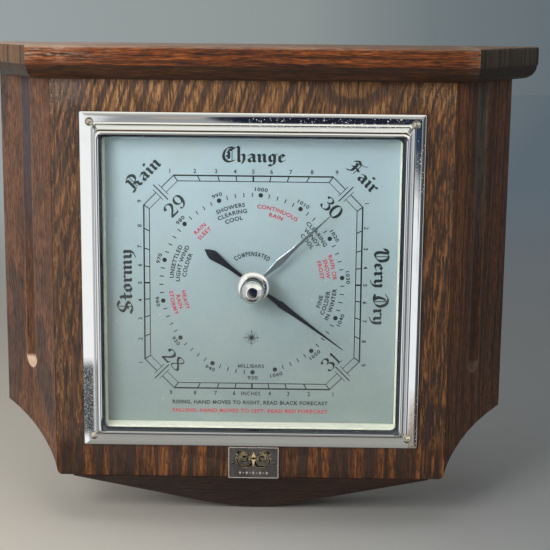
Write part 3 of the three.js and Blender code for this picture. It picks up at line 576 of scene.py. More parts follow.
def bevelled(node, name, width, material, segments=3, limit=35.0, body="case"):
    """the CAD solid with its edges softened"""
    me = NODES[node].data.copy()
    me.name = name
    bm = bmesh.new()
    bm.from_mesh(me)
    bmesh.ops.remove_doubles(bm, verts=bm.verts, dist=2e-6)
    bmesh.ops.dissolve_limit(bm, angle_limit=math.radians(1.2), verts=bm.verts, edges=bm.edges)
    bmesh.ops.dissolve_degenerate(bm, dist=2e-6, edges=bm.edges)
    bm.to_mesh(me)
    bm.free()
    me.shade_smooth()
    ob = new_object(name, me, material, body, (node,))
    mod = ob.modifiers.new("edges", "BEVEL")
    mod.width = width * 0.001
    mod.segments = segments
    mod.limit_method = "ANGLE"
    mod.angle_limit = math.radians(limit)
    mod.harden_normals = True
    mod.use_clamp_overlap = True
    mod.miter_outer = "MITER_ARC"
    return ob


def boolean(me_a, me_b, op):
    """exact boolean of two closed meshes, as a new mesh"""
    a = bpy.data.objects.new("tmp_a", me_a)
    b = bpy.data.objects.new("tmp_b", me_b)
    for o in (a, b):
        scene.collection.objects.link(o)
    mod = a.modifiers.new("b", "BOOLEAN")
    mod.operation, mod.object, mod.solver = op, b, "EXACT"
    bpy.context.view_layer.update()
    out = bpy.data.meshes.new_from_object(a.evaluated_get(bpy.context.evaluated_depsgraph_get()))
    for o in (a, b):
        bpy.data.objects.remove(o)
    return out


def box_mesh(name, x0, x1, d0, d1, z0, z1, turn=0.0, cx=0.0, cz=0.0):
    c, s = math.cos(turn), math.sin(turn)
    vs = []
    for d in (d0, d1):
        for x, z in ((x0, z0), (x1, z0), (x1, z1), (x0, z1)):
            vs.append(pt(cx + x * c - z * s, d, cz + x * s + z * c))
    fs = [(0, 1, 2, 3), (7, 6, 5, 4), (0, 4, 5, 1), (1, 5, 6, 2), (2, 6, 7, 3), (3, 7, 4, 0)]
    return mesh_of(name, vs, fs)


# ------------------------------------------------------------------ flat printed and engraved work
def ccw(p):
    return p if sum(a[0] * b[1] - b[0] * a[1] for a, b in zip(p, p[1:] + p[:1])) > 0 else p[::-1]


def union(polys):
    """the union of outlines as (points, triangles)"""
    vs, faces = [], []
    for p in polys:
        p = ccw([tuple(q) for q in p])
        faces.append(list(range(len(vs), len(vs) + len(p))))
        vs += [Vector(q) for q in p]
    v, _, f, _, _, src = delaunay_2d_cdt(vs, [], faces, 1, 1e-6)
    return [tuple(q) for q in v], [t for t, s in zip(f, src) if s]


class Flat:
    """flat shapes on one plane, raised to thin solids"""

    def __init__(self, ox=0.0, oz=0.0):
        self.v, self.t, self.o = [], [], (ox, oz)

    def add(self, verts, tris, move=lambda p: p):
        o = len(self.v)
        self.v += [(a + self.o[0], b + self.o[1]) for a, b in (move(p) for p in verts)]
        self.t += [tuple(i + o for i in t) for t in tris]

    def polys(self, polys, move=lambda p: p):
        self.add(*union(polys), move)

    def line(self, a, b, w):
        dx, dz = b[0] - a[0], b[1] - a[1]
        k = w / 2 / math.hypot(dx, dz)
        nx, nz = -dz * k, dx * k
        self.add([(a[0] + nx, a[1] + nz), (a[0] - nx, a[1] - nz), (b[0] - nx, b[1] - nz), (b[0] + nx, b[1] + nz)], [(0, 1, 2), (0, 2, 3)])

    def disc(self, x, z, r, n=20):
        pts = [(x + r * math.cos(2 * math.pi * k / n), z + r * math.sin(2 * math.pi * k / n)) for k in range(n)]
        self.add(pts, [(0, k, k + 1) for k in range(1, n - 1)])

    def mesh(self, name, d_back, d_front):
        used = sorted({i for t in self.t for i in t})
        at = {i: k for k, i in enumerate(used)}
        tris = [tuple(at[i] for i in t) for t in self.t]
        p = [self.v[i] for i in used]
        n = len(p)
        verts = [pt(x, d_front, z) for x, z in p] + [pt(x, d_back, z) for x, z in p]
        faces, count = [], {}
        for t in tris:
            (x0, z0), (x1, z1), (x2, z2) = (p[i] for i in t)
            if (x1 - x0) * (z2 - z0) - (x2 - x0) * (z1 - z0) < 0:
                t = t[::-1]
            faces += [t, tuple(i + n for i in t[::-1])]
            for a, b in zip(t, t[1:] + t[:1]):
                count[(a, b)] = count.get((a, b), 0) + 1
        for a, b in count:
            if (b, a) not in count:
                faces.append((b, a, a + n, b + n))
        me = bpy.data.meshes.new(name)
        me.from_pydata([tuple(v) for v in verts], [], faces)
        me.update()
        return me


def placed(x, z, turn=0.0, sx=1.0, sz=1.0):
    """puts a shape at (x, z), turned clockwise by turn degrees"""
    c, s = math.cos(math.radians(turn)), math.sin(math.radians(turn))
    return lambda p: (x + p[0] * sx * c + p[1] * sz * s, z - p[0] * sx * s + p[1] * sz * c)


_text = {}


def islands(v, t):
    """the separate shapes of a triangle list, as sets of points"""
    group = {i: {i} for f in t for i in f}
    for f in t:
        for i in f[1:]:
            a, b = group[f[0]], group[i]
            if a is not b:
                a |= b
                for k in b:
                    group[k] = a
    out = []
    for g in group.values():
        if not any(g is q for q in out):
            out.append(g)
    return out


def text2d(body, spacing=1.0, weight=0.0):
    """plain lettering as (points, triangles), centred, capitals 1 high"""
    key = (body, spacing, weight)
    if key in _text:
        return _text[key]

    def raw(s, sp):
        cu = bpy.data.curves.new("lettering", "FONT")
        cu.body, cu.size, cu.space_character, cu.offset = s, 1.0, sp, weight
        cu.dimensions, cu.fill_mode, cu.resolution_u = "2D", "FRONT", 3
        ob = bpy.data.objects.new("lettering", cu)
        scene.collection.objects.link(ob)
        bpy.context.view_layer.update()
        me = bpy.data.meshes.new_from_object(ob.evaluated_get(bpy.context.evaluated_depsgraph_get()))
        bpy.data.objects.remove(ob)
        bm = bmesh.new()
        bm.from_mesh(me)
        bmesh.ops.remove_doubles(bm, verts=bm.verts, dist=1e-5)
        bmesh.ops.triangulate(bm, faces=bm.faces)
        bm.verts.index_update()
        v = [(q.co.x, q.co.y) for q in bm.verts]
        t = [tuple(q.index for q in f.verts) for f in bm.faces]
        bm.free()
        bpy.data.meshes.remove(me)
        return v, t
    v, t = raw(body, spacing)
    h = [p[1] for p in raw("H", 1.0)[0]]
    cap = max(h) - min(h)
    if "M" in body:                                     # the font's own M fills up when it is thickened: draw that letter
        stem = raw("I", 1.0)[0]
        th = max(p[0] for p in stem) - min(p[0] for p in stem)
        boxes = sorted(((min(v[i][0] for i in c), max(v[i][0] for i in c), c) for c in islands(v, t)), key=lambda q: q[0])
        shapes = []
        for ch, (a, b, c) in zip(body.replace(" ", ""), boxes):
            if ch == "M":
                t = [f for f in t if f[0] not in c]
                y0, y1, mid, lean = min(h), max(h), (a + b) / 2, (b - a) * 0.05
                shapes += [[(a, y0), (a + th, y0), (a + th + lean, y1), (a + lean, y1)], [(b - th, y0), (b, y0), (b - lean, y1), (b - th - lean, y1)],
                           [(a + lean, y1), (a + lean + th, y1), (mid + th * 0.5, y0 + 0.12 * cap), (mid - th * 0.5, y0 + 0.12 * cap)],
                           [(b - lean - th, y1), (b - lean, y1), (mid + th * 0.5, y0 + 0.12 * cap), (mid - th * 0.5, y0 + 0.12 * cap)]]
        for k in range(0, len(shapes), 4):
            mv, mt = union(shapes[k:k + 4])
            t = t + [tuple(i + len(v) for i in f) for f in mt]
            v = v + mv
    x0, x1 = min(p[0] for p in v), max(p[0] for p in v)
    v = [((p[0] - (x0 + x1) / 2) / cap, (p[1] - min(h)) / cap - 0.5) for p in v]
    _text[key] = (v, t)
    return _text[key]


def letters(flat, body, x, z, height, turn=0.0, width=None, spacing=1.0, stretch=1.0, weight=0.0):
    v, t = text2d(body, spacing, weight)
    w = max(p[0] for p in v) - min(p[0] for p in v)
    sx = width / w if width else height * stretch
    flat.add(v, t, placed(x, z, turn, sx, height))


def arc_letters(flat, body, r, middle, height, span=None, weight=0.0, spacing=1.06, stretch=1.0):
    """lettering on an arc about the dial's centre; middle is clockwise from the top, span its length in mm.
    In the dial's lower half the tops of the letters point to the centre."""
    v, t = text2d(body, spacing, weight)
    w = max(p[0] for p in v) - min(p[0] for p in v)
    k = span / w if span else height * stretch
    side = -1 if 90 < middle % 360 < 270 else 1

    def move(p):
        a = math.radians(middle) + side * p[0] * k / r
        q = r + side * p[1] * height
        return (q * math.sin(a), q * math.cos(a))
    flat.add(v, t, move)


def at(r, deg):
    a = math.radians(deg)
    return (r * math.sin(a), r * math.cos(a))


def hull(points):
    pts = sorted(set((round(a, 7), round(b, 7)) for a, b in points))

    def half(seq):
        out = []
        for p in seq:
            while len(out) > 1 and (out[-1][0] - out[-2][0]) * (p[1] - out[-2][1]) - (out[-1][1] - out[-2][1]) * (p[0] - out[-2][0]) <= 0:
                out.pop()
            out.append(p)
        return out[:-1]
    return half(pts) + half(pts[::-1])


def nib_stroke(points, width, thick, angle=40.0):
    """polygons swept by a broad pen along points"""
    a = math.radians(angle)
    ux, uy = math.cos(a) * width / 2, math.sin(a) * width / 2
    vx, vy = -math.sin(a) * thick / 2, math.cos(a) * thick / 2
    corners = [(ux + vx, uy + vy), (ux - vx, uy - vy), (-ux - vx, -uy - vy), (-ux + vx, -uy + vy)]
    out = []
    for p, q in zip(points, points[1:]):
        out.append(hull([(p[0] + cx, p[1] + cy) for cx, cy in corners] + [(q[0] + cx, q[1] + cy) for cx, cy in corners]))
    return out


# pen strokes of a plain black-letter hand, x-height 1. Strokes starting with "c" are smooth curves, "h" are hairlines.
MINIM = lambda x: [(x - 0.11, 0.92), (x, 0.82), (x, 0.17), (x + 0.11, 0.08)]
BLACKLETTER = {
    "i": (0.46, [MINIM(0.20), [(0.15, 1.32), (0.25, 1.22)]]),
    "n": (0.88, [MINIM(0.20), [(0.24, 0.76), (0.50, 0.95), (0.62, 0.84), (0.62, 0.17), (0.73, 0.08)]]),
    "m": (1.30, [MINIM(0.20), [(0.24, 0.76), (0.50, 0.95), (0.62, 0.84), (0.62, 0.17), (0.71, 0.08)],
                 [(0.66, 0.76), (0.92, 0.95), (1.04, 0.84), (1.04, 0.17), (1.15, 0.08)]]),
    "a": (0.84, [[(0.14, 0.82), (0.34, 0.95), (0.58, 0.82), (0.58, 0.17), (0.69, 0.08)],
                 [(0.58, 0.62), (0.40, 0.60), (0.18, 0.44), (0.18, 0.20), (0.32, 0.07), (0.54, 0.24)]]),
    "h": (0.88, [[(0.09, 1.50), (0.20, 1.40), (0.20, 0.17), (0.31, 0.08)],
                 [(0.24, 0.74), (0.50, 0.95), (0.64, 0.82), (0.64, 0.28), (0.50, -0.10)]]),
    "g": (0.82, [[(0.34, 0.94), (0.18, 0.80), (0.18, 0.30), (0.34, 0.12), (0.56, 0.28)], [(0.34, 0.94), (0.58, 0.84), (0.76, 0.94)],
                 [(0.58, 0.84), (0.58, 0.04), (0.50, -0.22), (0.30, -0.36), (0.12, -0.24)]]),
    "e": (0.70, [[(0.36, 0.94), (0.18, 0.78), (0.18, 0.24), (0.34, 0.08), (0.58, 0.24)], [(0.36, 0.94), (0.56, 0.76), (0.22, 0.44)]]),
    "r": (0.62, [MINIM(0.20), [(0.24, 0.76), (0.42, 0.95), (0.54, 0.84)]]),
    "t": (0.58, [[(0.16, 1.26), (0.24, 1.10), (0.24, 0.20), (0.35, 0.07), (0.50, 0.20)], [(0.02, 0.86), (0.50, 0.90)]]),
    "o": (0.82, [[(0.38, 0.95), (0.18, 0.78), (0.18, 0.24), (0.38, 0.07), (0.60, 0.24), (0.60, 0.78), (0.38, 0.95)]]),
    "y": (0.86, [[(0.09, 0.94), (0.20, 0.82), (0.20, 0.24), (0.36, 0.08), (0.60, 0.28)],
                 [(0.51, 0.96), (0.62, 0.84), (0.62, 0.10), (0.48, -0.22), (0.20, -0.38)]]),
    " ": (0.45, []),
    "C": (1.22, ["c", [(1.02, 1.34), (0.74, 1.44), (0.40, 1.34), (0.19, 1.02), (0.16, 0.62), (0.30, 0.24), (0.62, 0.05), (1.02, 0.20)],
                 [(0.50, 1.14), (0.60, 1.04), (0.60, 0.42)], [(0.42, 0.78), (0.56, 0.66)], "h", [(0.86, 1.30), (0.86, 0.18)],
                 [(0.60, 1.28), (0.84, 1.22), (1.08, 1.42)]]),
    "R": (1.22, [[(0.16, 1.32), (0.34, 1.22), (0.34, 0.24), (0.14, 0.04)], "c", [(0.16, 1.30), (0.44, 1.46), (0.82, 1.40), (0.98, 1.14), (0.84, 0.88), (0.54, 0.78)],
                 [(0.54, 0.78), (0.86, 0.58), (0.86, 0.20), (1.06, 0.06)], "h", [(0.60, 1.36), (0.60, 0.20)], [(0.02, 0.14), (0.16, 0.04), (0.38, 0.12)]]),
    "F": (1.10, [[(0.06, 1.16), (0.26, 1.40), (0.62, 1.26), (1.04, 1.46)], [(0.30, 1.18), (0.38, 1.06), (0.38, 0.34), (0.22, 0.08), (0.04, 0.04)],
                 [(0.16, 0.74), (0.62, 0.82), (0.86, 0.70)], "h", [(0.66, 1.22), (0.66, 0.16)]]),
    "S": (1.16, ["c", [(1.00, 1.30), (0.72, 1.46), (0.36, 1.36), (0.22, 1.06), (0.42, 0.84), (0.78, 0.68), (0.94, 0.40), (0.74, 0.10), (0.36, 0.04), (0.06, 0.24)],
                 "h", [(0.60, 1.34), (0.60, 0.14)], [(0.44, 0.60), (0.56, 0.50)]]),
    "V": (1.16, ["c", [(0.04, 1.06), (0.16, 1.40), (0.34, 1.28), (0.28, 0.74), (0.36, 0.22), (0.60, 0.04)],
                 "c", [(0.54, 1.42), (0.86, 1.34), (1.00, 0.98), (0.96, 0.48), (0.60, 0.04)], "h", [(0.64, 1.30), (0.64, 0.18)]]),
    "D": (1.22, ["c", [(0.52, 1.30), (0.34, 0.98), (0.30, 0.52), (0.44, 0.12)],
                 "c", [(0.06, 1.26), (0.36, 1.44), (0.78, 1.38), (1.02, 0.98), (0.98, 0.44), (0.66, 0.08), (0.34, 0.05), (0.06, 0.22)], "h", [(0.64, 1.34), (0.64, 0.14)]]),
}


def blackletter(flat, word, x, z, xheight, turn, width, pen=0.27):
    polys, adv = [], 0.0
    shapes = []
    for ch in word:
        w, strokes = BLACKLETTER[ch]
        mode, glyph = "", []
        for s in strokes:
            if isinstance(s, str):
                mode = s
                continue
            pts = [(a, b if b < 0.95 else 0.95 + (b - 0.95) * 1.55) for a, b in (smooth_curve(s, 6) if mode == "c" else s)]
            if mode == "h":
                glyph += nib_stroke(pts, 0.07, 0.05, 0.0)
            else:
                glyph += nib_stroke(pts, pen, 0.055, 40.0)
            mode = ""
        if glyph:
            shapes.append(([[(a + adv, b) for a, b in p] for p in glyph]))
        adv += w
    xs = [q[0] for g in shapes for p in g for q in p]
    x0, x1 = min(xs), max(xs)
    sx = width / (x1 - x0)
    move = placed(x, z, turn, sx, xheight)
    for g in shapes:
        v, t = union(g)
        flat.add([(a - (x0 + x1) / 2, b) for a, b in v], t, move)


def spine(points, thin, thick, closed=False, gain=None, n=8):
    """a stroke whose width swells where it runs upright"""
    c = smooth_curve(points, n, closed)
    if closed:
        c = c + [c[0]]
    rims = []
    for i, p in enumerate(c):
        if closed:
            a, b = c[(i - 1) % (len(c) - 1)], c[(i + 1) % (len(c) - 1)]
        else:
            a, b = c[max(i - 1, 0)], c[min(i + 1, len(c) - 1)]
        dx, dy = b[0] - a[0], b[1] - a[1]
        L = math.hypot(dx, dy) or 1e-9
        g = gain(i / (len(c) - 1)) if gain else 1.0
        w = thin + (thick - thin) * (abs(dy) / L) ** 1.7 * g
        rims.append(((p[0] - dy / L * w, p[1] + dx / L * w), (p[0] + dy / L * w, p[1] - dx / L * w)))
    return [hull([*rims[i], *rims[i + 1]]) for i in range(len(rims) - 1)]


def dot(x, y, r, n=12):
    return [(x + r * math.cos(2 * math.pi * k / n), y + r * math.sin(2 * math.pi * k / n)) for k in range(n)]


def numerals():
    th, tk = 0.022, 0.088
    e = lambda cx, cy, rx, ry, n=12: [(cx + rx * math.sin(2 * math.pi * k / n), cy + ry * math.cos(2 * math.pi * k / n)) for k in range(n)]
    eight = [(0.34 + 0.235 * (0.88 if math.cos(t) > 0 else 1.06) * math.sin(2 * t), 0.5 + 0.475 * math.cos(t)) for t in (2 * math.pi * k / 24 for k in range(24))]
    return {
        "0": (0.72, spine(e(0.36, 0.5, 0.255, 0.478), th, tk, True)),
        "8": (0.72, spine(eight, 0.026, tk, True, lambda s: 1.0 if s > 0.5 else 0.30, 5)),
        "9": (0.70, spine(e(0.34, 0.665, 0.225, 0.312), th, tk * 0.9, True) +
              spine([(0.565, 0.70), (0.565, 0.46), (0.47, 0.18), (0.29, 0.025), (0.14, 0.07)], th, tk * 0.9) + [dot(0.155, 0.105, 0.062)]),
        "2": (0.72, spine([(0.11, 0.70), (0.13, 0.86), (0.30, 0.975), (0.50, 0.88), (0.555, 0.70), (0.46, 0.48), (0.24, 0.22), (0.09, 0.03)], th, tk) +
              [dot(0.145, 0.735, 0.062)] + [[(0.07, 0.0), (0.60, 0.0), (0.655, 0.25), (0.62, 0.25), (0.575, 0.13), (0.14, 0.13)]]),
        "3": (0.68, spine([(0.12, 0.80), (0.17, 0.92), (0.33, 0.978), (0.50, 0.88), (0.515, 0.72), (0.42, 0.60), (0.27, 0.545)], th, tk * 0.9) +
              spine([(0.27, 0.545), (0.46, 0.51), (0.585, 0.36), (0.57, 0.17), (0.42, 0.035), (0.24, 0.025), (0.10, 0.14)], th, tk) +
              [dot(0.145, 0.815, 0.058), dot(0.135, 0.165, 0.062)]),
        "1": (0.46, [[(0.19, 0.02), (0.31, 0.02), (0.31, 0.985), (0.27, 0.985), (0.19, 0.93)], [(0.06, 0.0), (0.44, 0.0), (0.44, 0.045), (0.06, 0.045)],
                     [(0.07, 0.80), (0.10, 0.78), (0.24, 0.90), (0.27, 0.985)]]),
    }


def numeral(flat, body, deg, r, height, turn, glyphs, stretch=1.2):
    adv, parts = 0.0, []
    for ch in body:
        w, polys = glyphs[ch]
        v, t = union(polys)
        parts.append(([(a + adv, b) for a, b in v], t))
        adv += w
    x, z = at(r, deg)
    move = placed(x, z, turn, height * stretch, height)
    for v, t in parts:
        flat.add([(a - adv / 2, b - 0.5) for a, b in v], t, move)


# ------------------------------------------------------------------ the dial's print
def dial_print():
    black, red = Flat(0.55, -0.9), Flat(0.55, -0.9)     # the card sits a little low and to the right
    ca, cv = 57.0, 41.40                                # octagon: distance to its sides, and its corners along them
    ia, iv = 54.1, 54.1 * math.tan(math.radians(36.0))
    for q in range(4):
        c, s = ((1, 0), (0, 1), (-1, 0), (0, -1))[q]
        rot = lambda x, z: (x * c + z * s, -x * s + z * c)
        black.line(rot(-cv - 0.1, ca), rot(cv + 0.1, ca), 0.78)
        black.line(rot(-iv, ia), rot(iv, ia), 0.44)
        for k in range(-4, 5):
            a = math.tan(math.radians(9 * k))
            black.line(rot(ca * a, ca), rot(ia * a, ia), 0.90 if k == 0 else 0.54)
        # diagonal side with its break marks
        o0, o1, i0, i1 = rot(cv, ca), rot(ca, cv), rot(iv, ia), rot(ia, iv)
        for p0, p1, w in ((o0, o1, 0.50), (i0, i1, 0.34)):
            mx, mz = (p0[0] + p1[0]) / 2, (p0[1] + p1[1]) / 2
            L = math.hypot(p1[0] - p0[0], p1[1] - p0[1])
            ux, uz = (p1[0] - p0[0]) / L, (p1[1] - p0[1]) / L
            black.line(p0, (mx - ux * 1.95, mz - uz * 1.95), w)
            black.line((mx + ux * 1.95, mz + uz * 1.95), p1, w)
        rad = rot(math.sqrt(0.5), math.sqrt(0.5))
        tan = (rad[1], -rad[0])
        mid = 68.05
        for off, length, w in ((-1.95, 7.3, 0.34), (0.0, 10.8, 0.60), (1.95, 7.3, 0.34)):
            a = [rad[0] * (mid + e * length / 2) + tan[0] * off for e in (-1, 1)]
            b = [rad[1] * (mid + e * length / 2) + tan[1] * off for e in (-1, 1)]
            black.line((a[0], b[0]), (a[1], b[1]), w)
    for k in range(-4, 5):                              # tenths
        a = 59.6 * math.tan(math.radians(9 * k))
        n = str(k + 5)
        letters(black, n, a, 59.3, 2.2, 0, weight=0.016)
        letters(black, n, 59.1, -a, 2.2, 90, weight=0.016)
        letters(black, n, -59.3, a, 2.2, -90, weight=0.016)
        if k:
            letters(black, n, -a, -59.6, 2.2, 0, weight=0.016)
    letters(black, "INCHES", -0.6, -59.7, 2.1, 0, width=10.2, spacing=1.15, weight=0.016)
    glyphs = numerals()
    for body, deg, turn, r in (("28", 225, 45, 58.9), ("29", 315.3, -45, 57.8), ("30", 45, 45, 57.9), ("31", 135, -45, 59.0)):
        numeral(black, body, deg, r, 7.3, turn, glyphs)
    # millibars
    ring = Flat(0.14, -1.28)
    for mb in range(930, 1061, 2):
        deg = (mb / 33.8639 - 29.5) * 90.0 + 2.53
        if mb % 10 == 0:
            ring.disc(*at(47.6, deg), 1.2)
            arc_letters(ring, str(mb), 50.6, deg, 1.95, spacing=1.12, stretch=1.25, weight=0.022)
        else:
            ring.line(at(46.5, deg), at(48.7, deg), 0.46)
    black.t += [tuple(i + len(black.v) for i in t) for t in ring.t]
    black.v += ring.v
    letters(black, "MILLIBARS", -0.55, -44.6, 2.0, 0, width=13.9, spacing=1.05, weight=0.016)
    small = Flat(0.2, 0.0)
    arc_letters(small, "COMPENSATED", 15.2, 0.0, 2.45, span=19.6, spacing=1.34, weight=0.036)
    black.t += [tuple(i + len(black.v) for i in t) for t in small.t]
    black.v += small.v
    # forecasts, black for a rising and red for a falling hand
    words = (
        (red, ("RAIN", "SLEET"), -43.6, 38.6), (black, ("SHOWERS", "CLEARING", "COOL"), -16.4, 38.9),
        (red, ("CONTINUOUS", "RAIN"), 18.4, 39.6), (black, ("CLEARING", "WINDY", "COOL"), 51.0, 40.0),
        (red, ("RAIN OR", "SNOW", "FROST"), 77.6, 39.9), (black, ("FINE", "COLDER", "IN WINTER"), 104.2, 39.9),
        (black, ("UNSETTLED", "LIGHT WIND", "COLDER"), 285.9, 39.4), (red, ("HEAVY", "RAIN", "STORMY"), 255.6, 39.9))
    for flat, lines, deg, r in words:
        side = -1 if 90 < deg % 360 < 270 else 1
        for i, text in enumerate(lines):
            rr = r + side * ((len(lines) - 1) / 2 - i) * 3.3
            arc_letters(flat, text, rr, deg, 2.15, stretch=1.08, spacing=1.10, weight=0.025)
    letters(black, "RISING, HAND MOVES TO RIGHT, READ BLACK FORECAST", -0.95, -64.7, 2.1, 0, width=83.0, spacing=1.08, weight=0.028)
    letters(red, "FALLING, HAND MOVES TO LEFT, READ RED FORECAST", -0.95, -69.3, 2.1, 0, width=83.0, spacing=1.08, weight=0.028)
    # weather words
    r = math.sqrt(0.5)
    for word, x, z, turn, width in (("Stormy", -63.4, 0.1, -90, 34.6), ("Rain", -77.5 * r - 0.1, 77.5 * r + 0.1, -45, 21.5),
                                    ("Change", 0.25, 64.1, 0, 33.0), ("Fair", 77.3 * r + 0.25, 77.3 * r + 0.1, 45, 19.6),
                                    ("Very Dry", 63.6, -0.5, 90, 41.0)):
        blackletter(black, word, x, z, 4.5, turn, width)
    # a plain eight-pointed wind rose
    cx, cz = -0.4, -29.0
    for k in range(8):
        a, big = k * 45.0, (4.6 if k % 2 == 0 else 2.9)
        tip = at(big, a)
        for sgn in (-1, 1):
            side = at(0.95, a + sgn * 45.0)
            poly = [(cx + tip[0], cz + tip[1]), (cx + side[0], cz + side[1]), (cx, cz)]
            if sgn > 0:
                black.add(poly, [(0, 1, 2)])
            else:
                black.line((cx + tip[0] * 0.97, cz + tip[1] * 0.97), (cx + side[0], cz + side[1]), 0.12)
    for r0 in (3.3,):
        ring = [(cx + at(r0, k * 7.5)[0], cz + at(r0, k * 7.5)[1]) for k in range(48)]
        for a, b in zip(ring, ring[1:] + ring[:1]):
            black.line(a, b, 0.14)
    new_object("dial_print_black", black.mesh("dial_print_black", 2.49, 2.43), INK_BLACK, "case")
    new_object("dial_print_red", red.mesh("dial_print_red", 2.49, 2.43), INK_RED, "case")


dial_print()

# ------------------------------------------------------------------ wooden case
bevelled("front_panel", "panel_front", 0.7, OAK_PANEL)
bevelled("left_side_board", "side_board_left", 0.7, OAK_SIDE)
bevelled("right_side_board", "side_board_right", 0.7, OAK_SIDE)
bevelled("bottom_apron", "apron", 0.7, OAK_APRON)
bevelled("back_board", "board_back", 0.6, PLYWOOD)


def cornice():
    """flat edge moulding over a quarter-round, canted back at both ends"""
    top, fil, t, front = 122.6, 9.8, 7.3, 14.0
    hf, hb = 113.7, 153.7
    phi = math.atan2(DEPTH + front, hb - hf)
    k = math.tan(phi / 2)
    zb = top - fil - t

    def loop(inset, z):
        xf, xb = hf - inset * k, hb - inset / math.sin(phi)
        n1, n2 = 24, 8
        pts = [(-xf + 2 * xf * i / n1, -front + inset, z) for i in range(n1)]
        pts += [(xf + (xb - xf) * i / n2, (-front + inset) + (DEPTH + front - inset) * i / n2, z) for i in range(n2)]
        pts += [(xb - 2 * xb * i / n1, DEPTH, z) for i in range(n1)]
        pts += [(-xb + (xb - xf) * i / n2, DEPTH - (DEPTH + front - inset) * i / n2, z) for i in range(n2)]
        return [pt(*p) for p in pts]
    loops = []
    for i in range(13):
        a = i / 12 * math.pi / 2
        loops.append(loop(0.5 + (t - 0.5) * (1 - math.sin(a)), zb + t * (1 - math.cos(a))))
    loops.append(loop(0.12, zb + t + 0.12))
    loops.append(loop(0.0, zb + t + 0.5))
    loops.append(loop(0.0, zb + t + fil / 2))
    for i in range(7):
        a = i / 6 * math.pi / 2
        loops.append(loop(1.5 * (1 - math.cos(a)), top - 1.5 + 1.5 * math.sin(a)))
    n = len(loops[0])
    verts = [v for lp in loops for v in lp]
    faces = []
    for i in range(len(loops) - 1):
        for j in range(n):
            j2 = (j + 1) % n
            faces.append((i * n + j, i * n + j2, (i + 1) * n + j2, (i + 1) * n + j))
    faces.append(tuple(range(n))[::-1])
    o = (len(loops) - 1) * n
    faces.append(tuple(range(o, o + n)))
    me = mesh_of("cornice_moulding", verts, faces, 28.0)
    new_object("cornice_moulding", me, OAK_CORNICE, "case", ("cornice",))


cornice()

# ------------------------------------------------------------------ bezel and its screws
BEZEL = [
    (0.0, 0.2, 0.9), (0.0, 1.65, 0.9), (0.06, 1.85, 0.9), (0.2, 2.02, 0.95), (0.42, 2.1, 1.0), (2.6, 2.1, 1.3), (5.2, 2.1, 1.8), (5.7, 2.13, 2.0),
    (6.15, 2.25, 2.2), (6.5, 2.5, 2.4), (6.8, 2.95, 2.6), (7.05, 3.7, 2.8), (7.35, 5.0, 2.9), (7.75, 7.0, 3.0), (8.15, 8.9, 3.1), (8.45, 10.0, 3.15),
    (8.75, 10.9, 3.2), (9.1, 11.6, 3.2), (9.5, 12.05, 3.2), (9.95, 12.2, 3.2), (10.45, 12.18, 3.1), (10.95, 11.95, 3.0), (11.4, 11.55, 2.8),
    (11.85, 11.0, 2.6), (12.2, 10.35, 2.5), (12.42, 9.75, 2.4), (12.5, 9.3, 2.4), (12.42, 9.12, 2.4), (12.2, 9.06, 2.4), (11.6, 9.05, 2.6),
    (11.2, 9.5, 2.7), (11.0, 10.4, 2.8), (10.6, 11.0, 2.9), (10.2, 11.15, 3.0), (9.8, 10.85, 3.0), (9.4, 9.6, 3.0), (8.95, 6.6, 3.0),
    (8.35, 3.6, 2.8), (7.6, 1.5, 2.4), (7.2, 1.25, 2.2), (1.0, 1.2, 0.6), (1.0, 0.2, 0.6)]


def bezel():
    me = square_ring("bezel_frame", 89.0, BEZEL, 10, 14, 40.0)
    for sx in (-1, 1):
        for sz in (-1, 1):
            hole = lathe("hole", [(0, -6), (1.8, -6), (1.8, 2), (0, 2)], sx * 83.7, sz * 83.7, 32)
            me = boolean(me, hole, "DIFFERENCE")
    finish_mesh(me, 40.0)
    new_object("bezel_frame", me, CHROME, "case", ("bezel",))
    n = 1
    for sx in (-1, 1):
        for sz in (1, -1):
            prof = [(0, -3.9), (0.5, -3.87), (1.0, -3.76), (1.45, -3.52), (1.8, -3.18), (2.05, -2.8), (2.2, -2.5), (2.22, -2.38), (2.15, -2.3), (1.5, -2.3), (1.5, 10), (0, 11.4)]
            head = lathe("screw", prof, sx * 83.7, sz * 83.7, 40)
            cut = box_mesh("slot", -3, 3, -4.6, -3.3, -0.28, 0.28, 0.7 + n * 1.3, sx * 83.7, sz * 83.7)
            me = finish_mesh(boolean(head, cut, "DIFFERENCE"), 30.0)
            new_object(f"screw_bezel_{n}", me, BRASS_WORN, "case", (f"bezel_screw_{n}",))
            n += 1


bezel()


# ------------------------------------------------------------------ knob, bush and hands
SET_X, SET_Z = 1.1, -0.6                                # the set hand's spindle


def knob_and_bush():
    head = smooth_curve([(0.0, -24.6), (2.0, -24.595), (2.9, -24.575), (3.3, -24.46), (3.8, -24.15), (4.6, -23.55), (5.4, -22.6), (6.0, -21.4), (6.3, -20.2), (6.15, -18.9), (5.4, -17.3),
                         (4.3, -15.8), (3.6, -14.6), (3.35, -13.7), (3.45, -12.9), (3.6, -12.2), (3.5, -11.7)], 5)
    prof = head + [(2.4, -11.5), (2.4, -2.9), (0, -2.9)]
    me = lathe("knob_set", prof, SET_X, SET_Z, 72)
    new_object("knob_set", me, CHROME_CLEAN, "set_hand_unit", ("set_knob",))
    bush = [(2.8, -5.2), (4.1, -5.2), (4.1, -9.0), (7.9, -9.0), (8.25, -9.06), (8.45, -9.3), (8.5, -9.6), (8.42, -10.0), (8.1, -10.45), (7.5, -10.8), (6.6, -11.05),
            (5.6, -11.15), (5.0, -11.2), (3.2, -11.2), (2.9, -11.1), (2.8, -10.9)]
    me = lathe("bush_glass", bush, SET_X, SET_Z, 72)
    new_object("bush_glass", me, CHROME_CLEAN, "case", ("glass_bush",))


knob_and_bush()


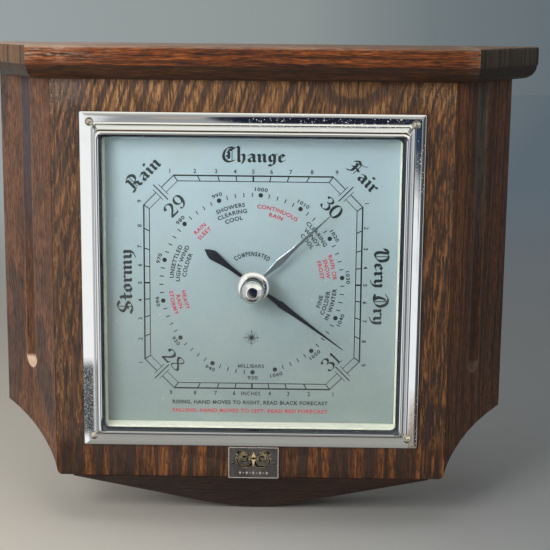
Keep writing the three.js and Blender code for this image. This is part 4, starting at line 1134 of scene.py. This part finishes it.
def hand(name, stations, tail, hub_r, hole_r, deg, d_ridge, d_edge, d_back, hub_front, material, body, node, off=0.0, x0=0.0, z0=0.0):
    """a tapered hand with a ridge along its middle or off it, on a round hub"""
    a = math.radians(deg)
    c, s = math.cos(a), math.sin(a)

    def q(r, w, d):
        return pt(x0 + r * s + w * c, d, z0 + r * c - w * s)

    def blade(st, sign):
        verts, faces = [], []
        for r, w in st:
            rr = sign * r
            e = d_edge + (d_back - d_edge) * 0.35
            verts += [q(rr, -w, d_back), q(rr, -w, e), q(rr, -w * 0.86, d_edge), q(rr, w * off, d_ridge), q(rr, w * 0.86, d_edge), q(rr, w, e), q(rr, w, d_back)]
        m = 7
        for i in range(len(st) - 1):
            for j in range(m):
                j2 = (j + 1) % m
                faces.append((i * m + j, i * m + j2, (i + 1) * m + j2, (i + 1) * m + j))
        faces.append(tuple(range(m))[::-1])
        faces.append(tuple(range((len(st) - 1) * m, len(st) * m)))
        return mesh_of("blade", verts, faces, 20.0)
    me = blade([(hub_r - 1.6, stations[0][1])] + stations, 1)
    hub = lathe("hub", [(hole_r, d_back), (hub_r - 0.15, d_back), (hub_r, d_back - 0.12), (hub_r, hub_front + 0.15), (hub_r - 0.15, hub_front), (hole_r, hub_front)], x0, z0, 56)
    me = boolean(hub, me, "UNION")
    if tail:
        me = boolean(me, blade([(hub_r - 1.6, tail[0][1])] + tail, -1), "UNION")
    finish_mesh(me, 20.0)
    return new_object(name, me, material, body, (node,))


hand("hand_set", [(9.0, 0.75), (12.5, 1.15), (16.0, 1.58), (18.5, 1.86), (20.3, 1.70), (26.0, 1.14), (32, 0.84), (45, 0.50), (52, 0.28), (55.6, 0.12)], [], 6.2, 2.7,
     46.8, -4.68, -4.28, -4.1, -4.5, NICKEL, "set_hand_unit", "set_hand", -0.62, SET_X, SET_Z)
hand("hand_indicating", [(7.5, 0.80), (12, 1.02), (17.2, 1.34), (18.8, 1.86), (20.4, 1.78), (26, 1.28), (34, 0.90), (44, 0.60), (54, 0.32), (60.0, 0.12)],
     [(7.5, 0.88), (14, 1.18), (19.0, 1.68), (22.5, 2.34), (24.8, 2.68), (26.0, 2.46), (28.0, 1.55), (30.3, 0.12)], 4.6, 1.2,
     126.1, -0.78, -0.66, -0.2, -0.74, BLUED, "hand_unit", "indicating_hand")


# ------------------------------------------------------------------ engraved plate
def plate():
    x0, x1, z0, z1 = -12.1, 15.5, -107.4, -89.4
    prof = []
    cx, cz, hx, hz = (x0 + x1) / 2, (z0 + z1) / 2, (x1 - x0) / 2, (z1 - z0) / 2
    loops = []
    for inset, d in ((0.0, -0.1), (0.0, -0.85), (0.06, -0.98), (0.2, -1.05), (0.5, -1.05)):
        loop = []
        for sx, sz, a0 in ((1, 1, 0), (-1, 1, 90), (-1, -1, 180), (1, -1, 270)):
            rc = 0.7
            for k in range(5):
                t = math.radians(a0 + 22.5 * k)
                loop.append(pt(cx + sx * (hx - inset - rc) + rc * math.cos(t), d, cz + sz * (hz - inset - rc) + rc * math.sin(t)))
        loops.append(loop)
    n = len(loops[0])
    faces = [(i * n + j, i * n + (j + 1) % n, (i + 1) * n + (j + 1) % n, (i + 1) * n + j) for i in range(len(loops) - 1) for j in range(n)]
    faces += [tuple(range(n))[::-1], tuple(range((len(loops) - 1) * n, len(loops) * n))]
    me = mesh_of("plate", [v for lp in loops for v in lp], faces, 25.0)
    for x in (-9.4, 12.8):
        me = boolean(me, lathe("hole", [(0, -3), (0.85, -3), (0.85, 2), (0, 2)], x, -98.2, 24), "DIFFERENCE")
    new_object("plate_engraved", finish_mesh(me, 25.0), PEWTER, "case", ("name_plate",))
    n = 1
    for x in (-9.4, 12.8):
        prof = [(0, -1.9), (0.45, -1.86), (0.85, -1.72), (1.1, -1.5), (1.18, -1.3), (1.1, -1.16), (0.6, -1.12), (0.6, 4.0), (0, 4.6)]
        new_object(f"pin_plate_{n}", lathe("pin", prof, x, -98.2, 28), PEWTER, "case", (f"name_plate_pin_{n}",))
        n += 1
    # cut border and a scroll ornament
    line, gilt = Flat(), Flat()
    b = 0.55
    for a0, a1 in (((x0 + b, z0 + b), (x1 - b, z0 + b)), ((x1 - b, z0 + b), (x1 - b, z1 - b)), ((x1 - b, z1 - b), (x0 + b, z1 - b)), ((x0 + b, z1 - b), (x0 + b, z0 + b))):
        line.line(a0, a1, 0.42)
    for k in range(9):                                  # a row of small lozenges and dots
        px, pz = cx - 7.2 + k * 1.8, z0 + 3.3
        if k % 2:
            line.disc(px, pz, 0.34, 10)
        else:
            line.add([(px, pz + 0.95), (px - 0.62, pz), (px, pz - 0.95), (px + 0.62, pz)], [(0, 1, 2), (0, 2, 3)])
    for sx in (-1, 1):
        spiral = []
        for k in range(34):
            t = k / 33
            a = math.radians(200 - 540 * t)
            r = 3.3 * (1 - 0.80 * t)
            spiral.append((4.7 + r * math.cos(a), 0.9 + r * math.sin(a)))
        stem = smooth_curve([(1.5, -0.2), (1.2, -2.0), (2.6, -3.4), (4.6, -3.2)], 6)
        leaf = smooth_curve([(4.2, -3.6), (6.8, -3.4), (8.4, -1.6), (8.9, 0.9)], 6)
        leaf2 = smooth_curve([(5.4, 4.6), (7.4, 4.6), (8.8, 3.2)], 5)
        for path in (spiral, stem, leaf, leaf2):
            for poly in nib_stroke([(p[0] * sx, p[1]) for p in path], 1.15, 0.46, 40.0 if sx > 0 else 140.0):
                gilt.add(*union([poly]), lambda p: (cx + p[0], cz + 1.5 + p[1]))
    for poly in ([(0, 4.6), (1.2, 1.6), (0, -4.0), (-1.2, 1.6)], [(-1.5, 0.9), (0, 1.7), (1.5, 0.9), (0, 0.1)]):
        gilt.add(poly, [(0, 1, 2), (0, 2, 3)], lambda p: (cx + p[0], cz + 1.5 + p[1]))
    new_object("plate_border", line.mesh("plate_border", -1.06, -1.09), SILVER_LINE, "case")
    new_object("plate_scroll", gilt.mesh("plate_scroll", -1.06, -1.09), GILT, "case")


plate()

# ------------------------------------------------------------------ finishes of the pieces kept from the frame
FINISH = {
    "left_batten": OAK_INNER, "right_batten": OAK_INNER, "glass": GLASS, "glass_spacer": CREAM, "dial_plate": DIAL, "movement_pan": ZINC,
    "hanger_plate": BRASS, "movement_base_plate": BRASS, "aneroid_capsule": BRASS, "mainspring": STEEL, "hairspring": BLUED, "set_hand_nut": CHROME_CLEAN,
}
for name, ob in NODES.items():
    mat = FINISH.get(name)
    if mat is None:
        brass = any(w in name for w in ("brass", "pillar", "bridge", "bracket", "lever", "arbor", "bush", "hanger", "stud"))
        mat = BRASS if brass else STEEL
    ob.data.materials.clear()
    ob.data.materials.append(mat)


# ------------------------------------------------------------------ stage
def plain(name, color, rough=0.6, emit=0.0):
    m = Mat(name)
    n = m.noise(m.scaled(0.01, 0.01, 0.01), 1.0, 3.0, 0.5)
    m.set(color=m.mix(m.mul(n, 0.12), color, tuple(c * 0.85 for c in color)), rough=rough, spec=0.2)
    return m.m


def quad(name, corners, material):
    me = bpy.data.meshes.new(name)
    me.from_pydata([tuple(c) for c in corners], [], [(0, 1, 2, 3)])
    me.materials.append(material)
    ob = bpy.data.objects.new(name, me)
    scene.collection.objects.link(ob)
    return ob


ground = -0.1345


def backdrop(m, side):
    """the wall far behind: pale grey to the left, slate to the right; side runs from -1 left to 1 right"""
    return m.ramp(m.math("MULTIPLY_ADD", side, 0.5, 0.5), [(0.37, (0.33, 0.365, 0.37)), (0.50, (0.27, 0.30, 0.30)), (0.55, (0.16, 0.19, 0.20)), (0.62, (0.105, 0.135, 0.16))])


def floor_paint():
    m = Mat("floor_paint")
    r = m.math("SQRT", m.add(m.mul(m.x, m.x), m.mul(m.y, m.y)))
    far = m.step(r, 260.0, 1500.0)
    east = m.step(m.x, -230.0, 230.0)
    near = m.mix(east, (0.78, 0.73, 0.64), (0.46, 0.48, 0.49))
    m.set(color=m.mix(far, near, (0.0, 0.0, 0.0)), rough=0.9, spec=m.math("MULTIPLY_ADD", far, -0.1, 0.1))
    # painted backdrop: beyond 0.26 m the floor fades from lit paint to a glow in the wall's colours, which no lamp
    # gives
    m.put(m.b, "Emission Color", backdrop(m, m.math("DIVIDE", m.x, r)))
    m.put(m.b, "Emission Strength", far)
    return m.m


floor = quad("floor", [(-4, -4, ground), (4, -4, ground), (4, 4, ground), (-4, 4, ground)], floor_paint())
floor.visible_glossy = False


def area(name, loc, look, size, power, color=(1, 1, 1), glossy=True):
    data = bpy.data.lights.new(name, "AREA")
    data.shape, data.size, data.size_y = "RECTANGLE", size[0], size[1]
    data.energy, data.color = power, color
    ob = bpy.data.objects.new(name, data)
    scene.collection.objects.link(ob)
    ob.location = loc
    ob.rotation_mode = "QUATERNION"
    ob.rotation_quaternion = (Vector(look) - Vector(loc)).to_track_quat("-Z", "Y")
    ob.visible_camera = False
    ob.visible_glossy = glossy
    return ob


area("key", (-0.27, -0.54, 0.225), (0, -0.05, 0.02), (0.26, 0.26), 2.15, (1.0, 0.985, 0.96), False)
area("top", (-0.1, -0.25, 0.95), (0, -0.05, 0), (0.8, 0.5), 1.6, (0.96, 0.98, 1.0), False)
left = area("left", (-0.52, -0.28, 0.05), (-0.12, -0.02, -0.01), (0.2, 0.35), 0.66, (1.0, 0.98, 0.95), False)
left.visible_transmission = False


class Sky(Mat):
    """the room round the object, by direction: azimuth to the right of straight in front, and elevation"""

    def __init__(self, world):
        world.use_nodes = True
        self.t = world.node_tree
        self.t.nodes.clear()
        self.p = self.node("ShaderNodeTexCoord").outputs["Generated"]
        self.x, self.y, self.z = self.node("ShaderNodeSeparateXYZ", {0: self.p}).outputs
        self.az = self.mul(self.math("ARCTAN2", self.x, self.mul(self.y, -1.0)), 180.0 / math.pi)
        self.el = self.mul(self.math("ARCSINE", self.z), 180.0 / math.pi)

    def patch(self, col, a0, sa, e0, se, color, outer=1.3, inner=0.7):
        da = self.mul(self.sub(self.az, a0), 1.0 / sa)
        de = self.mul(self.sub(self.el, e0), 1.0 / se)
        q = self.add(self.mul(da, da), self.mul(de, de))
        return self.mix(self.step(q, outer, inner), col, color)


world = bpy.data.worlds.new("studio")
scene.world = world
w = Sky(world)
g = lambda v: (v, v, v)
height = lambda e: (e + 90.0) / 180.0
room = w.ramp(w.mul(w.add(w.el, 90.0), 1 / 180.0), [
    (height(-84), g(0.06)), (height(-66), g(0.10)), (height(-54), g(0.26)), (height(-34), (0.34, 0.33, 0.30)), (height(-17), (0.40, 0.39, 0.35)),
    (height(-4), (0.34, 0.35, 0.35)), (height(6), (0.46, 0.46, 0.44)), (height(15), (1.15, 1.13, 1.00)), (height(38), (1.15, 1.13, 1.00)),
    (height(84), (0.66, 0.66, 0.62))])
right = w.mul(w.step(w.az, 100.0, 125.0), w.step(w.math("ABSOLUTE", w.el), 50.0, 34.0))
room = w.mix(right, room, (0.10, 0.105, 0.11))
left = w.mul(w.mul(w.step(w.az, -30.0, -60.0), w.step(w.math("ABSOLUTE", w.el), 50.0, 30.0)), 0.9)
room = w.mix(left, room, (0.62, 0.63, 0.62))
room = w.patch(room, 24.0, 11.0, -10.0, 18.0, (0.07, 0.075, 0.08))
room = w.patch(room, 64.0, 24.0, -8.0, 26.0, (0.66, 0.68, 0.70))
room = w.patch(room, -27.0, 19.0, -8.0, 24.0, (1.08, 1.08, 1.06), 1.14, 0.95)
room = w.patch(room, 7.8, 4.6, -12.4, 5.2, (1.0, 1.02, 1.03))
room = w.patch(room, 6.6, 2.6, -4.6, 2.3, (0.035, 0.055, 0.10))
room = w.patch(room, 0.9, 4.9, -6.5, 8.0, (0.016, 0.018, 0.034), 1.12, 0.75)
room = w.patch(room, -4.9, 1.3, -4.6, 1.6, (0.50, 0.43, 0.37))
fill = w.ramp(w.math("MULTIPLY_ADD", w.z, 0.5, 0.5), [(0.30, (0.42, 0.44, 0.46)), (0.90, (0.86, 0.87, 0.86))])
lp = w.node("ShaderNodeLightPath")
wall = backdrop(w, w.math("DIVIDE", w.x, w.math("MAXIMUM", w.math("SQRT", w.add(w.mul(w.x, w.x), w.mul(w.y, w.y))), 0.001)))
bgs = [w.node("ShaderNodeBackground", {0: c, 1: k}).outputs[0] for c, k in ((fill, 0.25), (room, 1.0), (wall, 1.0))]
shader = w.node("ShaderNodeMixShader", {0: lp.outputs["Is Glossy Ray"], 1: bgs[0], 2: bgs[1]}).outputs[0]
shader = w.node("ShaderNodeMixShader", {0: lp.outputs["Is Camera Ray"], 1: shader, 2: bgs[2]}).outputs[0]
w.t.links.new(shader, w.node("ShaderNodeOutputWorld").inputs[0])

scene.view_settings.view_transform = "Standard"
scene.view_settings.look = "None"
scene.view_settings.exposure = 0.0
scene.view_settings.gamma = 1.0
